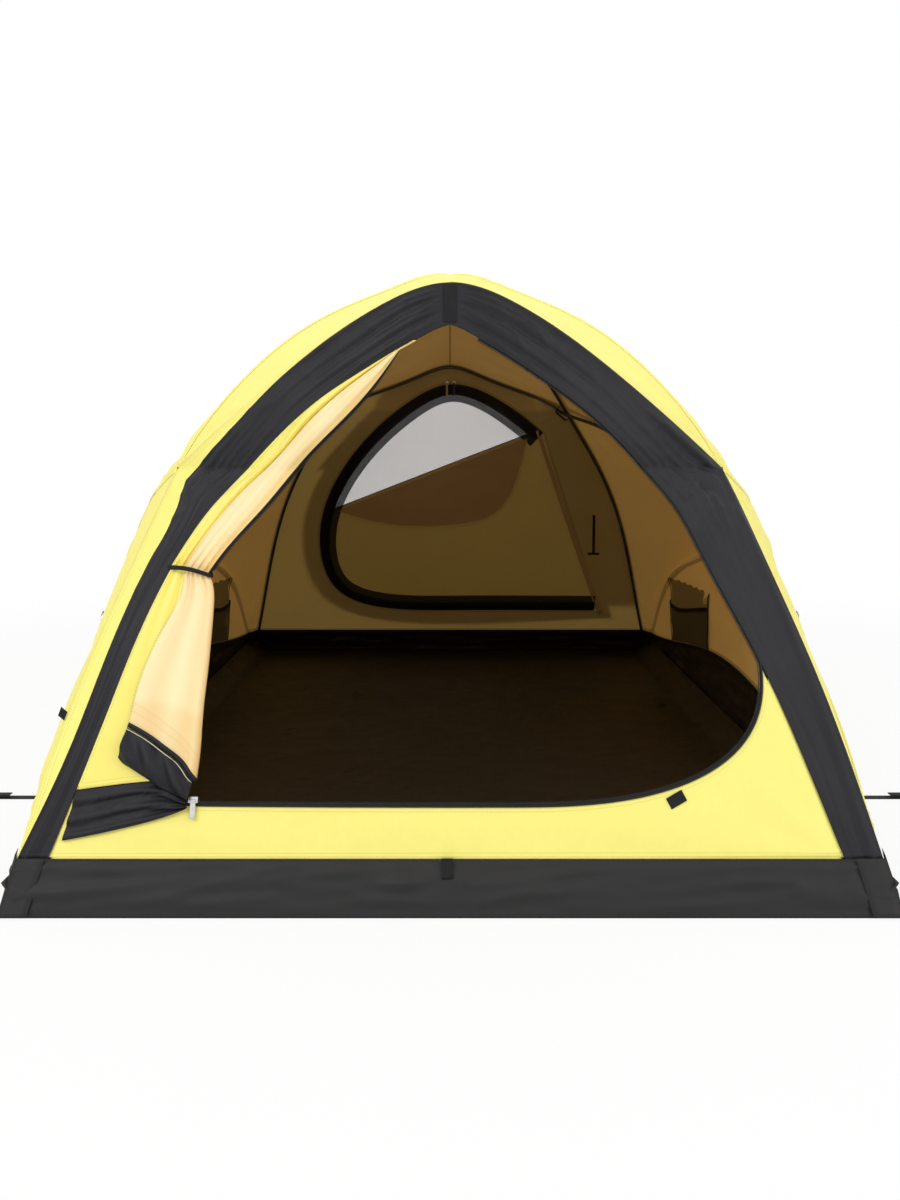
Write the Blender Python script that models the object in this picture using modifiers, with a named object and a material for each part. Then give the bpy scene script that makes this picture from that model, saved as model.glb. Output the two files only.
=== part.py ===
"""Two-person single-wall dome tent: four inside poles, a tub floor, sewn panels,
a tied-back front door, a rear door with a net window, and its webbing and zips.

Metres, +Z up.  The origin is the middle of the floor's underside, the front door
faces -Y and the rear door faces +Y.
"""
import math

import bmesh
import bpy
import numpy as np
from mathutils import Matrix, Vector
from mathutils.bvhtree import BVHTree

# Driving dimensions
FLOOR_WIDTH = 1.300
FLOOR_LENGTH = 2.360
PEAK_HEIGHT = 1.055
TUB_END_HEIGHT = 0.076
TUB_SIDE_RISE = 0.088
TUB_BULGE = 0.012
TUB_CLOTH = 0.0020
CLOTH = 0.0014
MESH_GAP = 0.0003
SEAM_GAP = 0.0010

# Poles
POLE_DIAMETER = 0.009
POLE_TO_CLOTH = 0.0014
POLE_SECTIONS = 9
POLE_FOOT_SPREAD = 0.045
POLE_FOOT_HEIGHT = 0.016
SLEEVE_LENGTH = 0.040
SLEEVE_SWELL = 1.12
TIP_LENGTH = 0.010
TIP_SWELL = 0.8
CUP_WALL = 0.002
CUP_HEIGHT = 0.009
CUP_CLEARANCE = 0.0030
CUP_PATCH_THICKNESS = 0.0012

# Front door and the band that frames it
BAND_FOOT = 0.055
BAND_KNEE = 0.070
BAND_SHOULDER = 0.105
BAND_CROWN = 0.067
SILL_HEIGHT = 0.1422 * PEAK_HEIGHT
SILL_LEFT_RISE = 0.019
DOOR_CORNER_WIDTH = 0.370
DOOR_CORNER_POWER = 2.5
SILL_TO_BAND = 0.0015
ZIP_CORD = 0.005
ZIP_TOP = 0.7915 * PEAK_HEIGHT
SLIDER_PLACE = -0.376
SLIDER_TRAVEL = 0.100
SLIDER_LENGTH = 0.014
SLIDER_DEPTH = 0.012
SLIDER_HEIGHT = 0.009
SLIDER_RAISE = 0.002
SLIDER_CLEARANCE = 0.0006
PULL_LENGTH = 0.028
PULL_WIDTH = 0.008
PULL_THICKNESS = 0.0014
PULL_HEAD = 0.4 * PULL_THICKNESS
PULL_BEVEL = 0.0004
STRIP_LOW = ((-0.566, 0.108), (-0.386, 0.140))
STRIP_HIGH = ((-0.549, 0.169), (-0.430, 0.176))
STRIP_STEPS = 9

# The open front door's cloth, gathered at its left edge
DOOR_CLOTH = 0.0016
DOOR_TOP = 0.7848 * PEAK_HEIGHT
TIE_HEIGHT = 0.4502 * PEAK_HEIGHT
TIED_WIDTH = 0.066
ROLL_LEAST = 0.012
ROLL_WIDTH = 0.104
ROLL_INSET = 0.0021
ROLL_LIFT = 0.0030
ROLL_SLANT = 0.010
ROLL_FOLDS = 3
SEWN_SHARE = 0.12
FOLD_DEPTH = 0.022
TAIL_TOP = 0.4360 * PEAK_HEIGHT
TAIL_BOTTOM = 0.1725 * PEAK_HEIGHT
TAIL_INSET = 0.0006
TAIL_LIFT = 0.0025
TAIL_TURN = 0.42
TAIL_FOLD_X = -0.352
TAIL_FOLD_DRIFT = -0.016
TAIL_LAYERS = 0.016
TAIL_RIPPLE = 0.004
TAIL_FOLDS = 3
HEM_RISE = 0.085
TIE_STRAP = 0.012
TIE_STRAP_ROOM = 0.004
GATHERED = 0.40
TIE_STRAP_RISE = 0.011

# Rear door
REAR_DOOR_SILL = 0.1384 * PEAK_HEIGHT
REAR_DOOR_TOP = 0.8057 * PEAK_HEIGHT
REAR_DOOR_LEFT = 0.403
HINGE_TOP = (0.270, REAR_DOOR_TOP - 0.141)
HINGE_FOOT = (0.481, REAR_DOOR_SILL)
REAR_ZIP_BAND = 0.024
REAR_DOOR_GAP = 0.0026
HINGE_GAP = 0.0008
NET_THICKNESS = 0.0010
WINDOW_FOLD_LEFT = 0.4436 * PEAK_HEIGHT
WINDOW_FOLD_RIGHT = 0.6806 * PEAK_HEIGHT
COVER_FOLD = 0.008
COVER_LIFT = 0.0023
COVER_LEAN = 0.12
BAND_LIFT = 0.0050
REAR_SLIDER_MIDDLE = 0.0015
REAR_SLIDER_SPREAD = 0.0105
REAR_PULL_LENGTH = 0.038
REAR_TIE_PLACE = (0.438, 0.4389 * PEAK_HEIGHT)
REAR_TIE_LENGTH = 0.118
REAR_TIE_WIDTH = 0.008
REAR_TRIM_LIFT = 0.0041
REAR_TIE_LIFT = 0.0030

# Webbing and small hardware
WEB_WIDTH = 0.020
WEB_THICKNESS = 0.0016
STAKE_STRAP_PLACE = -0.560
STAKE_STRAP_REACH = 0.930
STRAP_FOLD = 0.060
RING_WIRE = 0.003
RING_SIZE = 0.026
GUY_TAB_LENGTH = 0.022
GUY_TAB_LIFT = 0.0030
GUY_SEAM_STEP = 3
TIE_WIDTH = 0.015
TIE_THICKNESS = 0.0010
TIE_CLEARANCE = 0.0082
TIE_END_LIFT = 0.0014
TIE_BAND_LIFT = 0.0033
TIE_REAR_LIFT = 0.0006
POCKET_FRONT = 0.200
POCKET_BACK = 0.660
POCKET_BOTTOM = TUB_END_HEIGHT + TUB_SIDE_RISE + 0.004
POCKET_TOP = POCKET_BOTTOM + 0.120
POCKET_DEPTH = 0.030
TOGGLE_LENGTH = 0.034
TOGGLE_DIAMETER = 0.007
SMALL_LIFT = 0.0008
PATCH_PLACE = np.array([0.332, SILL_HEIGHT + 0.008])
PATCH_LENGTH = 0.026
PATCH_WIDTH = 0.017
PATCH_LEAN = 28
HEM_TAB_PLACE = -0.004
HEM_TAB_LENGTH = 0.026
LEG_TAB_STEP = 5
LEG_TAB_LIFT = 0.0009
LEG_TAB_LENGTH = 0.012

# How finely the cloth is divided along a seam
SEAM_STEPS = 7
SIDE_STEPS = 9
ZIP_STEPS = 36

HALF_W = FLOOR_WIDTH / 2
HALF_L = FLOOR_LENGTH / 2
MIRROR = np.array([-1.0, 1.0, 1.0])

# Shape of the bent poles, as shares of half the floor and of the peak height
DIAGONAL_RISE = (
    (-1.0, 0.0), (-0.887, 0.262), (-0.776, 0.466), (-0.694, 0.603), (-0.588, 0.724),
    (-0.445, 0.832), (-0.2, 0.943), (0.0, 1.0), (0.25, 0.907), (0.496, 0.733),
    (0.728, 0.487), (0.87, 0.262), (1.0, 0.0))
FRONT_CROSSING = -0.694
REAR_CROSSING = 0.496
SIDE_CROSSING = (1.046, -0.150, 0.452)
FRONT_ARCH_TOP = ((0.378, -0.778, 0.756), (0.168, -0.800, 0.840), (0.0, -0.804, 0.873))
FRONT_ARCH_SIDE = (0.888, -0.424, 0.530)
FRONT_ARCH_LEG = (0.995, 0.610, 0.275)
REAR_ARCH_TOP = ((0.350, 0.600, 0.778), (0.150, 0.650, 0.828), (0.0, 0.662, 0.857))
REAR_ARCH_LEG = ((0.985, -0.745, 0.213), (0.994, -0.407, 0.370))

ROOF_TAUTNESS = 3.0
SIDE_TAUTNESS = 1.8

COLOURS = {
    "yellow cloth": ((0.93, 0.80, 0.13, 1), 0.75, 0.0),
    "black cloth": ((0.045, 0.045, 0.05, 1), 0.8, 0.0),
    "floor cloth": ((0.025, 0.022, 0.02, 1), 0.55, 0.0),
    "inner cloth": ((0.90, 0.66, 0.30, 1), 0.8, 0.0),
    "net": ((0.55, 0.53, 0.48, 1), 0.9, 0.0),
    "webbing": ((0.03, 0.03, 0.035, 1), 0.85, 0.0),
    "pole": ((0.16, 0.16, 0.17, 1), 0.35, 0.9),
    "plastic": ((0.03, 0.03, 0.03, 1), 0.45, 0.0),
    "metal": ((0.75, 0.75, 0.73, 1), 0.28, 1.0),
}


def clear_scene():
    for obj in list(bpy.data.objects):
        bpy.data.objects.remove(obj, do_unlink=True)


def material(name):
    found = bpy.data.materials.get(name)
    if found:
        return found
    colour, roughness, metallic = COLOURS[name]
    made = bpy.data.materials.new(name)
    made.use_nodes = True
    shader = made.node_tree.nodes["Principled BSDF"]
    shader.inputs["Base Color"].default_value = colour
    shader.inputs["Roughness"].default_value = roughness
    shader.inputs["Metallic"].default_value = metallic
    made.diffuse_color = colour
    return made


def link(obj, finish, smooth=True):
    """Put a finished object into the tent's collection with its material."""
    collection = bpy.data.collections.get("tent")
    if collection is None:
        collection = bpy.data.collections.new("tent")
        bpy.context.scene.collection.children.link(collection)
    for other in obj.users_collection:
        other.objects.unlink(obj)
    collection.objects.link(obj)
    obj.data.materials.append(material(finish))
    if smooth and obj.type == "MESH":
        obj.data.shade_smooth()
        obj.data.set_sharp_from_angle(angle=math.radians(40))
    return obj


# Curves through a few points

def natural_spline(knots, values):
    """A smooth curve through values at the rising knots, as a function."""
    knots = np.asarray(knots, float)
    values = np.asarray(values, float)
    if values.ndim == 1:
        values = values[:, None]
    steps = np.diff(knots)
    count = len(knots)
    system = np.eye(count)
    right = np.zeros_like(values)
    for i in range(1, count - 1):
        system[i, i - 1:i + 2] = steps[i - 1], 2 * (steps[i - 1] + steps[i]), steps[i]
        right[i] = 6 * ((values[i + 1] - values[i]) / steps[i]
                        - (values[i] - values[i - 1]) / steps[i - 1])
    bend = np.linalg.solve(system, right)

    def curve(at):
        at = np.atleast_1d(np.asarray(at, float))
        cell = np.clip(np.searchsorted(knots, at) - 1, 0, count - 2)
        step = steps[cell][:, None]
        after = (at - knots[cell])[:, None]
        before = step - after
        return (bend[cell] * before ** 3 / (6 * step) + bend[cell + 1] * after ** 3 / (6 * step)
                + (values[cell] / step - bend[cell] * step / 6) * before
                + (values[cell + 1] / step - bend[cell + 1] * step / 6) * after)
    return curve


def through(points):
    """A smooth curve through points in space and the parameter of each."""
    points = np.asarray(points, float)
    knots = np.concatenate([[0], np.cumsum(np.linalg.norm(np.diff(points, axis=0), axis=1))])
    return natural_spline(knots, points), knots


def shares(*triple):
    return np.array(triple) * (HALF_W, HALF_L, PEAK_HEIGHT)


rise = natural_spline(*zip(*DIAGONAL_RISE))


def diagonal(reach):
    """The right-hand seam over a diagonal pole: -1 front corner, 0 peak, 1 rear corner."""
    reach = np.atleast_1d(reach)
    return np.column_stack([HALF_W * abs(reach), HALF_L * reach, PEAK_HEIGHT * rise(reach)[:, 0]])


PEAK = diagonal(0)[0]
FRONT_TIE = diagonal(FRONT_CROSSING)[0]
REAR_TIE = diagonal(REAR_CROSSING)[0]
SIDE_TIE = shares(*SIDE_CROSSING)

front_arch_half = [np.array([HALF_W, HALF_L - POLE_FOOT_SPREAD, 0]), shares(*FRONT_ARCH_LEG),
                   SIDE_TIE, shares(*FRONT_ARCH_SIDE), FRONT_TIE] + [
    shares(*point) for point in FRONT_ARCH_TOP]
rear_arch_half = [np.array([HALF_W, POLE_FOOT_SPREAD - HALF_L, 0])] + [
    shares(*point) for point in REAR_ARCH_LEG] + [SIDE_TIE, REAR_TIE] + [
    shares(*point) for point in REAR_ARCH_TOP]
front_arch, FRONT_KNOTS = through(front_arch_half + [p * MIRROR for p in front_arch_half[-2::-1]])
rear_arch, REAR_KNOTS = through(rear_arch_half + [p * MIRROR for p in rear_arch_half[-2::-1]])


def tub_top(y):
    """Height of the tub's upper edge along a side."""
    along = np.clip((np.asarray(y) / HALF_L + 1) / 2, 0, 1)
    return TUB_END_HEIGHT + TUB_SIDE_RISE * np.sin(math.pi * along) ** 2


def where_it_leaves_tub(curve, start, end):
    """The parameter at which a seam rises over the tub's edge, between start and end."""
    for _ in range(50):
        middle = (start + end) / 2
        x, y, z = curve(middle)[0]
        if z < tub_top(y):
            start = middle
        else:
            end = middle
    return end


def seam(curve, start, end, count=SEAM_STEPS):
    return curve(np.linspace(start, end, count + 1))


FRONT_FOOT = where_it_leaves_tub(diagonal, -1.0, -0.9)
REAR_FOOT = where_it_leaves_tub(diagonal, 1.0, 0.9)
FRONT_ARCH_FOOT = where_it_leaves_tub(front_arch, 0.0, FRONT_KNOTS[1])
REAR_ARCH_FOOT = where_it_leaves_tub(rear_arch, 0.0, REAR_KNOTS[1])

# Right-hand seams, each from its upper or middle end outwards
PEAK_FRONT = seam(diagonal, 0, FRONT_CROSSING)
FRONT_LEG = seam(diagonal, FRONT_CROSSING, FRONT_FOOT)
PEAK_REAR = seam(diagonal, 0, REAR_CROSSING)
REAR_LEG = seam(diagonal, REAR_CROSSING, REAR_FOOT)
BROW = seam(front_arch, FRONT_KNOTS[7], FRONT_KNOTS[4])
FRONT_SIDE = seam(front_arch, FRONT_KNOTS[4], FRONT_KNOTS[2])
SIDE_REAR = seam(front_arch, FRONT_KNOTS[2], FRONT_ARCH_FOOT)
REAR_BROW = seam(rear_arch, REAR_KNOTS[7], REAR_KNOTS[4])
REAR_SIDE = seam(rear_arch, REAR_KNOTS[4], REAR_KNOTS[3])
SIDE_FRONT = seam(rear_arch, REAR_KNOTS[3], REAR_ARCH_FOOT)


def tub_edge(start, end, count):
    """The tub's upper edge between two seams on one side, bulging a little outwards."""
    share = np.linspace(0, 1, count + 1)[:, None]
    line = start * (1 - share) + end * share
    line[:, 0] += TUB_BULGE * np.sin(math.pi * share[:, 0])
    inner = slice(1, -1)
    line[inner, 2] = tub_top(line[inner, 1])
    return line


EDGE_FRONT = tub_edge(FRONT_LEG[-1], SIDE_FRONT[-1], SEAM_STEPS)
EDGE_FRONT[:, 0] = np.linspace(FRONT_LEG[-1][0], SIDE_FRONT[-1][0], SEAM_STEPS + 1)
EDGE_SIDE = tub_edge(SIDE_FRONT[-1], SIDE_REAR[-1], SIDE_STEPS)
EDGE_REAR = tub_edge(SIDE_REAR[-1], REAR_LEG[-1], SEAM_STEPS)
EDGE_REAR[:, 0] = np.linspace(SIDE_REAR[-1][0], REAR_LEG[-1][0], SEAM_STEPS + 1)


def resample(line, count):
    """Points at even distances along a broken line."""
    line = np.asarray(line, float)
    run = np.concatenate([[0], np.cumsum(np.linalg.norm(np.diff(line, axis=0), axis=1))])
    at = np.linspace(0, run[-1], count + 1)
    return np.column_stack([np.interp(at, run, line[:, k]) for k in range(line.shape[1])])


def coons(bottom, top, left, right, taut=1.0):
    """A sheet between four edges; bottom and top run from left to right.

    It is ruled from bottom to top, and the side edges' own bend fades across it, the
    faster the tauter the cloth.
    """
    rows, columns = len(left), len(bottom)
    t = np.linspace(0, 1, rows)[:, None, None]
    s = np.linspace(0, 1, columns)[None, :, None]
    bottom, top = np.asarray(bottom)[None], np.asarray(top)[None]
    left, right = np.asarray(left)[:, None], np.asarray(right)[:, None]
    left_bend = left - (1 - t) * bottom[:, :1] - t * top[:, :1]
    right_bend = right - (1 - t) * bottom[:, -1:] - t * top[:, -1:]
    return (1 - t) * bottom + t * top + (1 - s) ** taut * left_bend + s ** taut * right_bend


class Wall:
    """A door wall as a height field: its middle is a straight slope, its edges lie on the seams."""

    def __init__(self, edge, middle_foot, middle_top):
        order = np.argsort(edge[:, 2])
        self.edge = edge[order]
        self.foot = middle_foot
        self.top = middle_top

    def depth(self, x, z):
        x, z = np.asarray(x, float), np.asarray(z, float)
        half = np.interp(z, self.edge[:, 2], self.edge[:, 0])
        side = np.interp(z, self.edge[:, 2], self.edge[:, 1])
        share = np.clip((z - self.foot[1]) / (self.top[1] - self.foot[1]), 0, 1)
        middle = self.foot[0] + share * (self.top[0] - self.foot[0])
        blend = np.minimum(abs(x) / np.maximum(half, 0.01), 1) ** 2
        return middle + (side - middle) * blend

    def lift(self, flat, out=0.0):
        """Points of the wall above flat (x, z) points, moved out along -Y or +Y."""
        flat = np.asarray(flat, float)
        x, z = flat[..., 0], flat[..., 1]
        return np.stack([x, self.depth(x, z) + out, z], axis=-1)


FINE = 60
front_edge = np.vstack([seam(diagonal, FRONT_FOOT, FRONT_CROSSING, FINE),
                        seam(front_arch, FRONT_KNOTS[4], FRONT_KNOTS[7], FINE)[1:]])
rear_edge = np.vstack([seam(diagonal, REAR_FOOT, REAR_CROSSING, FINE),
                       seam(rear_arch, REAR_KNOTS[4], REAR_KNOTS[7], FINE)[1:]])
FRONT_WALL = Wall(front_edge, FRONT_LEG[-1][1:], BROW[0][1:])
REAR_WALL = Wall(rear_edge, REAR_LEG[-1][1:], REAR_BROW[0][1:])


def flat(points):
    return np.asarray(points)[..., [0, 2]]


def band_width(z):
    """Width of the black band that frames the door, by height."""
    knots = [FRONT_LEG[-1][2], FRONT_TIE[2] * 0.6, FRONT_TIE[2], BROW[0][2]]
    return np.interp(z, knots, [BAND_FOOT, BAND_KNEE, BAND_SHOULDER, BAND_CROWN])


def band_inner_edge(outer):
    """The door side of the band: the outer seam moved square to itself by the band's width."""
    line = flat(outer)
    tangent = np.gradient(line, axis=0)
    tangent /= np.linalg.norm(tangent, axis=1)[:, None]
    inner = line + np.column_stack([-tangent[:, 1], tangent[:, 0]]) * band_width(line[:, 1])[:, None]
    inner[0, 1] = line[0, 1]
    inner[-1, 0] = 0
    return inner


BAND_OUTER = np.vstack([FRONT_LEG[::-1], BROW[::-1][1:]])
BAND_INNER = band_inner_edge(BAND_OUTER)


def door_corner():
    """Where the door's rounded lower corner meets the band's inner edge."""
    heights = BAND_INNER[:, 1]
    top = SILL_HEIGHT + DOOR_CORNER_WIDTH * 0.52
    return np.array([np.interp(top, heights, BAND_INNER[:, 0]), top])


def door_sill(count):
    """The door's lower edge from the left band to the right band, as (x, z) points."""
    right = door_corner() - (SILL_TO_BAND, 0)
    left_z = SILL_HEIGHT + SILL_LEFT_RISE
    left_x = SILL_TO_BAND - np.interp(left_z, BAND_INNER[:, 1], BAND_INNER[:, 0])
    turn = right[0] - DOOR_CORNER_WIDTH
    angle = np.linspace(0, math.pi / 2, FINE)
    power = 2 / DOOR_CORNER_POWER
    corner = np.column_stack([turn + DOOR_CORNER_WIDTH * np.sin(angle) ** power,
                              right[1] - (right[1] - SILL_HEIGHT) * np.cos(angle) ** power])
    straight = np.column_stack([np.linspace(left_x, turn, FINE), np.full(FINE, SILL_HEIGHT)])
    lift = np.clip((straight[0, 0] + 0.2 - straight[:, 0]) / 0.2, 0, 1) ** 2
    straight[:, 1] += SILL_LEFT_RISE * lift
    return resample(np.vstack([straight, corner[1:]]), count)


def band_between(low, high, count):
    """The band's inner edge between two heights, as (x, z) points of the right side."""
    z = np.linspace(low, high, count + 1)
    return np.column_stack([np.interp(z, BAND_INNER[:, 1], BAND_INNER[:, 0]), z])


# Outer faces of the sewn panels

SILL_STEPS = 20
SILL = door_sill(SILL_STEPS)
FOOT_Z = BAND_INNER[0, 1]
FLIP = np.array([-1.0, 1.0])
sill_left = (band_between(FOOT_Z, SILL[0, 1], 4) - (SILL_TO_BAND, 0)) * FLIP
sill_right = band_between(FOOT_Z, SILL[-1, 1], 4) - (SILL_TO_BAND, 0)
sill_foot = np.column_stack([np.linspace(sill_left[0, 0], sill_right[0, 0], SILL_STEPS + 1),
                             np.full(SILL_STEPS + 1, FOOT_Z)])
sill_flat = coons(sill_foot, SILL, sill_left, sill_right)
band_flat = np.stack([BAND_INNER + (flat(BAND_OUTER) - BAND_INNER) * share
                      for share in np.linspace(0, 1, 3)])
front_band = FRONT_WALL.lift(band_flat)
front_band[-1] = BAND_OUTER


def rear_door_outline():
    """The rear door's edge seen from inside, from the hinge's foot up and round, as (x, z)."""
    left, top, low = REAR_DOOR_LEFT, REAR_DOOR_TOP, REAR_DOOR_SILL
    points = np.array([HINGE_TOP, (0.155, top - 0.054), (0.0, top),
                       (-0.135, top - 0.062), (-left * 0.757, top - 0.228),
                       (-left, low + 0.246), (-left * 0.9, low + 0.075),
                       (-left * 0.42, low + 0.004), (0.0, low), HINGE_FOOT])
    curve, knots = through(points)
    round_side = curve(np.linspace(0, knots[-1], FINE * 4))
    hinge = np.linspace(round_side[-1], round_side[0], FINE)[1:-1]
    return np.vstack([hinge, round_side])


REAR_BASE_STEPS = 16
REAR_RIM = np.vstack([REAR_LEG[::-1], REAR_BROW[::-1][1:]])
rear_base = REAR_WALL.lift(np.column_stack([
    np.linspace(-REAR_RIM[0, 0], REAR_RIM[0, 0], REAR_BASE_STEPS + 1),
    np.full(REAR_BASE_STEPS + 1, REAR_RIM[0, 2])]))
REAR_OUTER = np.vstack([REAR_RIM, REAR_RIM[::-1][1:] * MIRROR, rear_base[1:]])
REAR_DOOR_MIDDLE = np.array([0.030, (REAR_DOOR_TOP + REAR_DOOR_SILL) / 2 - 0.060])


def around(line, middle, like):
    """The points of a loop that lie in the same directions from a middle as other points."""
    angle = np.arctan2(*(line - middle).T[::-1])
    order = np.argsort(angle)
    angle = angle[order]
    ring = line[order]
    angle = np.concatenate([angle[-1:] - 2 * math.pi, angle, angle[:1] + 2 * math.pi])
    ring = np.vstack([ring[-1:], ring, ring[:1]])
    wanted = np.arctan2(*(like - middle).T[::-1])
    return np.column_stack([np.interp(wanted, angle, ring[:, k]) for k in range(2)])


REAR_OUTLINE = rear_door_outline()
REAR_DOOR = around(REAR_OUTLINE, REAR_DOOR_MIDDLE, flat(REAR_OUTER))


# The cloth's thickness: each panel gets an inner face, mitred along the seams it shares

panels = {}
seam_normals = {}


def key(point):
    """A name for a place, to a tenth of a millimetre, away from round numbers."""
    return tuple(np.round(np.asarray(point) * 1e4 + 0.317).astype(int))


def grid_normals(grid):
    """Unit normals of a grid of points, from its two directions."""
    across = np.gradient(grid, axis=1)
    along = np.gradient(grid, axis=0)
    normal = np.cross(across, along)
    size = np.linalg.norm(normal, axis=-1, keepdims=True)
    for i, j in np.argwhere(size[..., 0] < 1e-9):
        normal[i, j] = normal[min(i + 1, len(grid) - 2), j]
    return normal / np.maximum(np.linalg.norm(normal, axis=-1, keepdims=True), 1e-12)


def border(grid):
    rows, columns = grid.shape[:2]
    cells = [(0, j) for j in range(columns)] + [(rows - 1, j) for j in range(columns)]
    return cells + [(i, j) for i in range(rows) for j in (0, columns - 1)]


def add_panel(name, grid, finish, outward):
    """Register a panel's outer face; outward is a rough direction away from the cabin."""
    grid = np.asarray(grid, float)
    normal = grid_normals(grid)
    if np.sum(normal.mean(axis=(0, 1)) * outward) < 0:
        grid = grid[:, ::-1]
        normal = -normal[:, ::-1]
    panels[name] = (grid, normal, finish)
    for i, j in set(border(grid)):
        seam_normals.setdefault(key(grid[i, j]), []).append(normal[i, j])


def mirrored(grid):
    return grid * MIRROR


def side_pair(name, grid, finish, outward):
    add_panel(name + "_right", grid, finish, outward)
    add_panel(name + "_left", mirrored(grid), finish, np.array(outward) * MIRROR)


def register_panels():
    up = (0, 0, 1)
    for name, leg, brow in (("roof_front", PEAK_FRONT, BROW), ("roof_rear", PEAK_REAR, REAR_BROW)):
        low = np.vstack([mirrored(brow)[::-1], brow[1:]])
        add_panel(name, coons(np.repeat(PEAK[None], len(low), axis=0), low, mirrored(leg), leg,
                              ROOF_TAUTNESS), "yellow cloth", up)
    side = (1, 0, 0.3)
    edges = {"side_roof": (PEAK_FRONT, REAR_SIDE, PEAK_REAR, FRONT_SIDE),
             "side_front": (FRONT_SIDE, EDGE_FRONT, FRONT_LEG, SIDE_FRONT),
             "side_rear": (REAR_SIDE, EDGE_REAR[::-1], REAR_LEG, SIDE_REAR),
             "side_lower": (np.repeat(SIDE_TIE[None], SIDE_STEPS + 1, axis=0), EDGE_SIDE,
                            SIDE_FRONT, SIDE_REAR)}
    for name, four in edges.items():
        side_pair(name, coons(*four, SIDE_TAUTNESS), "yellow cloth", side)
    front = (0, -1, 0)
    add_panel("front_sill_panel", FRONT_WALL.lift(sill_flat), "yellow cloth", front)
    side_pair("front_band", front_band, "black cloth", front)
    ring = np.stack([REAR_DOOR + (flat(REAR_OUTER) - REAR_DOOR) * share
                     for share in np.linspace(0, 1, 4)])
    ring = REAR_WALL.lift(ring)
    ring[-1] = REAR_OUTER
    add_panel("rear_wall", ring, "yellow cloth", (0, 1, 0))


def mitre(point, normal, thickness):
    """The inner point behind a seam point, shared by every panel that meets there."""
    shared = seam_normals.get(key(point), [normal])
    middle = np.sum(shared, axis=0)
    middle /= np.linalg.norm(middle)
    lean = max(min(float(middle @ other) for other in shared), 0.5)
    return point - middle * thickness / lean


def shrink(grid, gap):
    """Draw a grid's border in, so that neighbours keep a gap at their seam."""
    drawn = grid.copy()
    rows, columns = grid.shape[:2]
    for i in range(rows):
        for j, inner in ((0, 1), (columns - 1, columns - 2)):
            step = grid[i, inner] - grid[i, j]
            size = np.linalg.norm(step)
            if size > 4 * gap:
                drawn[i, j] += step / size * gap
    for j in range(columns):
        for i, inner in ((0, 1), (rows - 1, rows - 2)):
            step = grid[inner, j] - grid[i, j]
            size = np.linalg.norm(step)
            if size > 4 * gap:
                drawn[i, j] += step / size * gap
    return drawn


def mesh_object(name, points, faces, finish, smooth=True):
    mesh = bpy.data.meshes.new(name)
    mesh.from_pydata([tuple(map(float, p)) for p in points], [], faces)
    tidy = bmesh.new()
    tidy.from_mesh(mesh)
    bmesh.ops.remove_doubles(tidy, verts=tidy.verts, dist=0.00002)
    bmesh.ops.recalc_face_normals(tidy, faces=tidy.faces)
    if tidy.calc_volume(signed=True) < 0:
        bmesh.ops.reverse_faces(tidy, faces=tidy.faces)
    tidy.to_mesh(mesh)
    tidy.free()
    return link(bpy.data.objects.new(name, mesh), finish, smooth)


def halves(ring, points):
    """A four-cornered face as two triangles, cut along its shorter diagonal."""
    a, b, c, d = ring
    if np.linalg.norm(points[a] - points[c]) <= np.linalg.norm(points[b] - points[d]):
        return [[a, b, c], [a, c, d]]
    return [[a, b, d], [b, c, d]]


def grid_rings(rows, columns, wrap=False):
    """The four-cornered faces of a grid of points; wrap joins its first and last columns."""
    last = columns if wrap else columns - 1
    return [[i * columns + j, i * columns + (j + 1) % columns,
             (i + 1) * columns + (j + 1) % columns, (i + 1) * columns + j]
            for i in range(rows - 1) for j in range(last)]


def two_sided(rings, points, offset):
    """Both faces of a sheet, cut alike so that they can't cross; offset leads to the inner one."""
    faces = []
    for ring in rings:
        for half in halves(ring, points):
            faces.append(half)
            faces.append([offset + corner for corner in half[::-1]])
    return faces


def grid_solid(name, outer, inner, finish, wrap=False):
    """A closed solid between two faces of a sheet; wrap joins its first and last columns."""
    rows, columns = outer.shape[:2]
    offset = rows * columns
    last = columns if wrap else columns - 1
    faces = two_sided(grid_rings(rows, columns, wrap), outer.reshape(-1, 3), offset)
    for i in (0, rows - 1):
        for j in range(last):
            k = (j + 1) % columns
            a, b = i * columns + j, i * columns + k
            faces.append([a, b, offset + b, offset + a])
    if not wrap:
        for j in (0, columns - 1):
            for i in range(rows - 1):
                a, b = i * columns + j, (i + 1) * columns + j
                faces.append([a, b, offset + b, offset + a])
    points = np.vstack([outer.reshape(-1, 3), inner.reshape(-1, 3)])
    return mesh_object(name, points, faces, finish)


inner_faces = []


def build_panels():
    for name, (grid, normal, finish) in panels.items():
        inner = grid - normal * CLOTH
        for i, j in set(border(grid)):
            inner[i, j] = mitre(grid[i, j], normal[i, j], CLOTH)
        inner_faces.append(inner)
        half_gap = SEAM_GAP / 2
        grid_solid(name, shrink(grid, half_gap), shrink(inner, half_gap), finish)


def sheet(name, grid, thickness, finish, side=-1.0):
    """A sheet of cloth or webbing: an open grid made solid on one side or about its middle."""
    points = grid.reshape(-1, 3)
    faces = [half for ring in grid_rings(*grid.shape[:2]) for half in halves(ring, points)]
    mesh = bpy.data.meshes.new(name)
    mesh.from_pydata([tuple(map(float, p)) for p in points], [], faces)
    obj = link(bpy.data.objects.new(name, mesh), finish)
    solid = obj.modifiers.new("thickness", "SOLIDIFY")
    solid.thickness = thickness
    solid.offset = side
    solid.use_even_offset = True
    return obj


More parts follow.
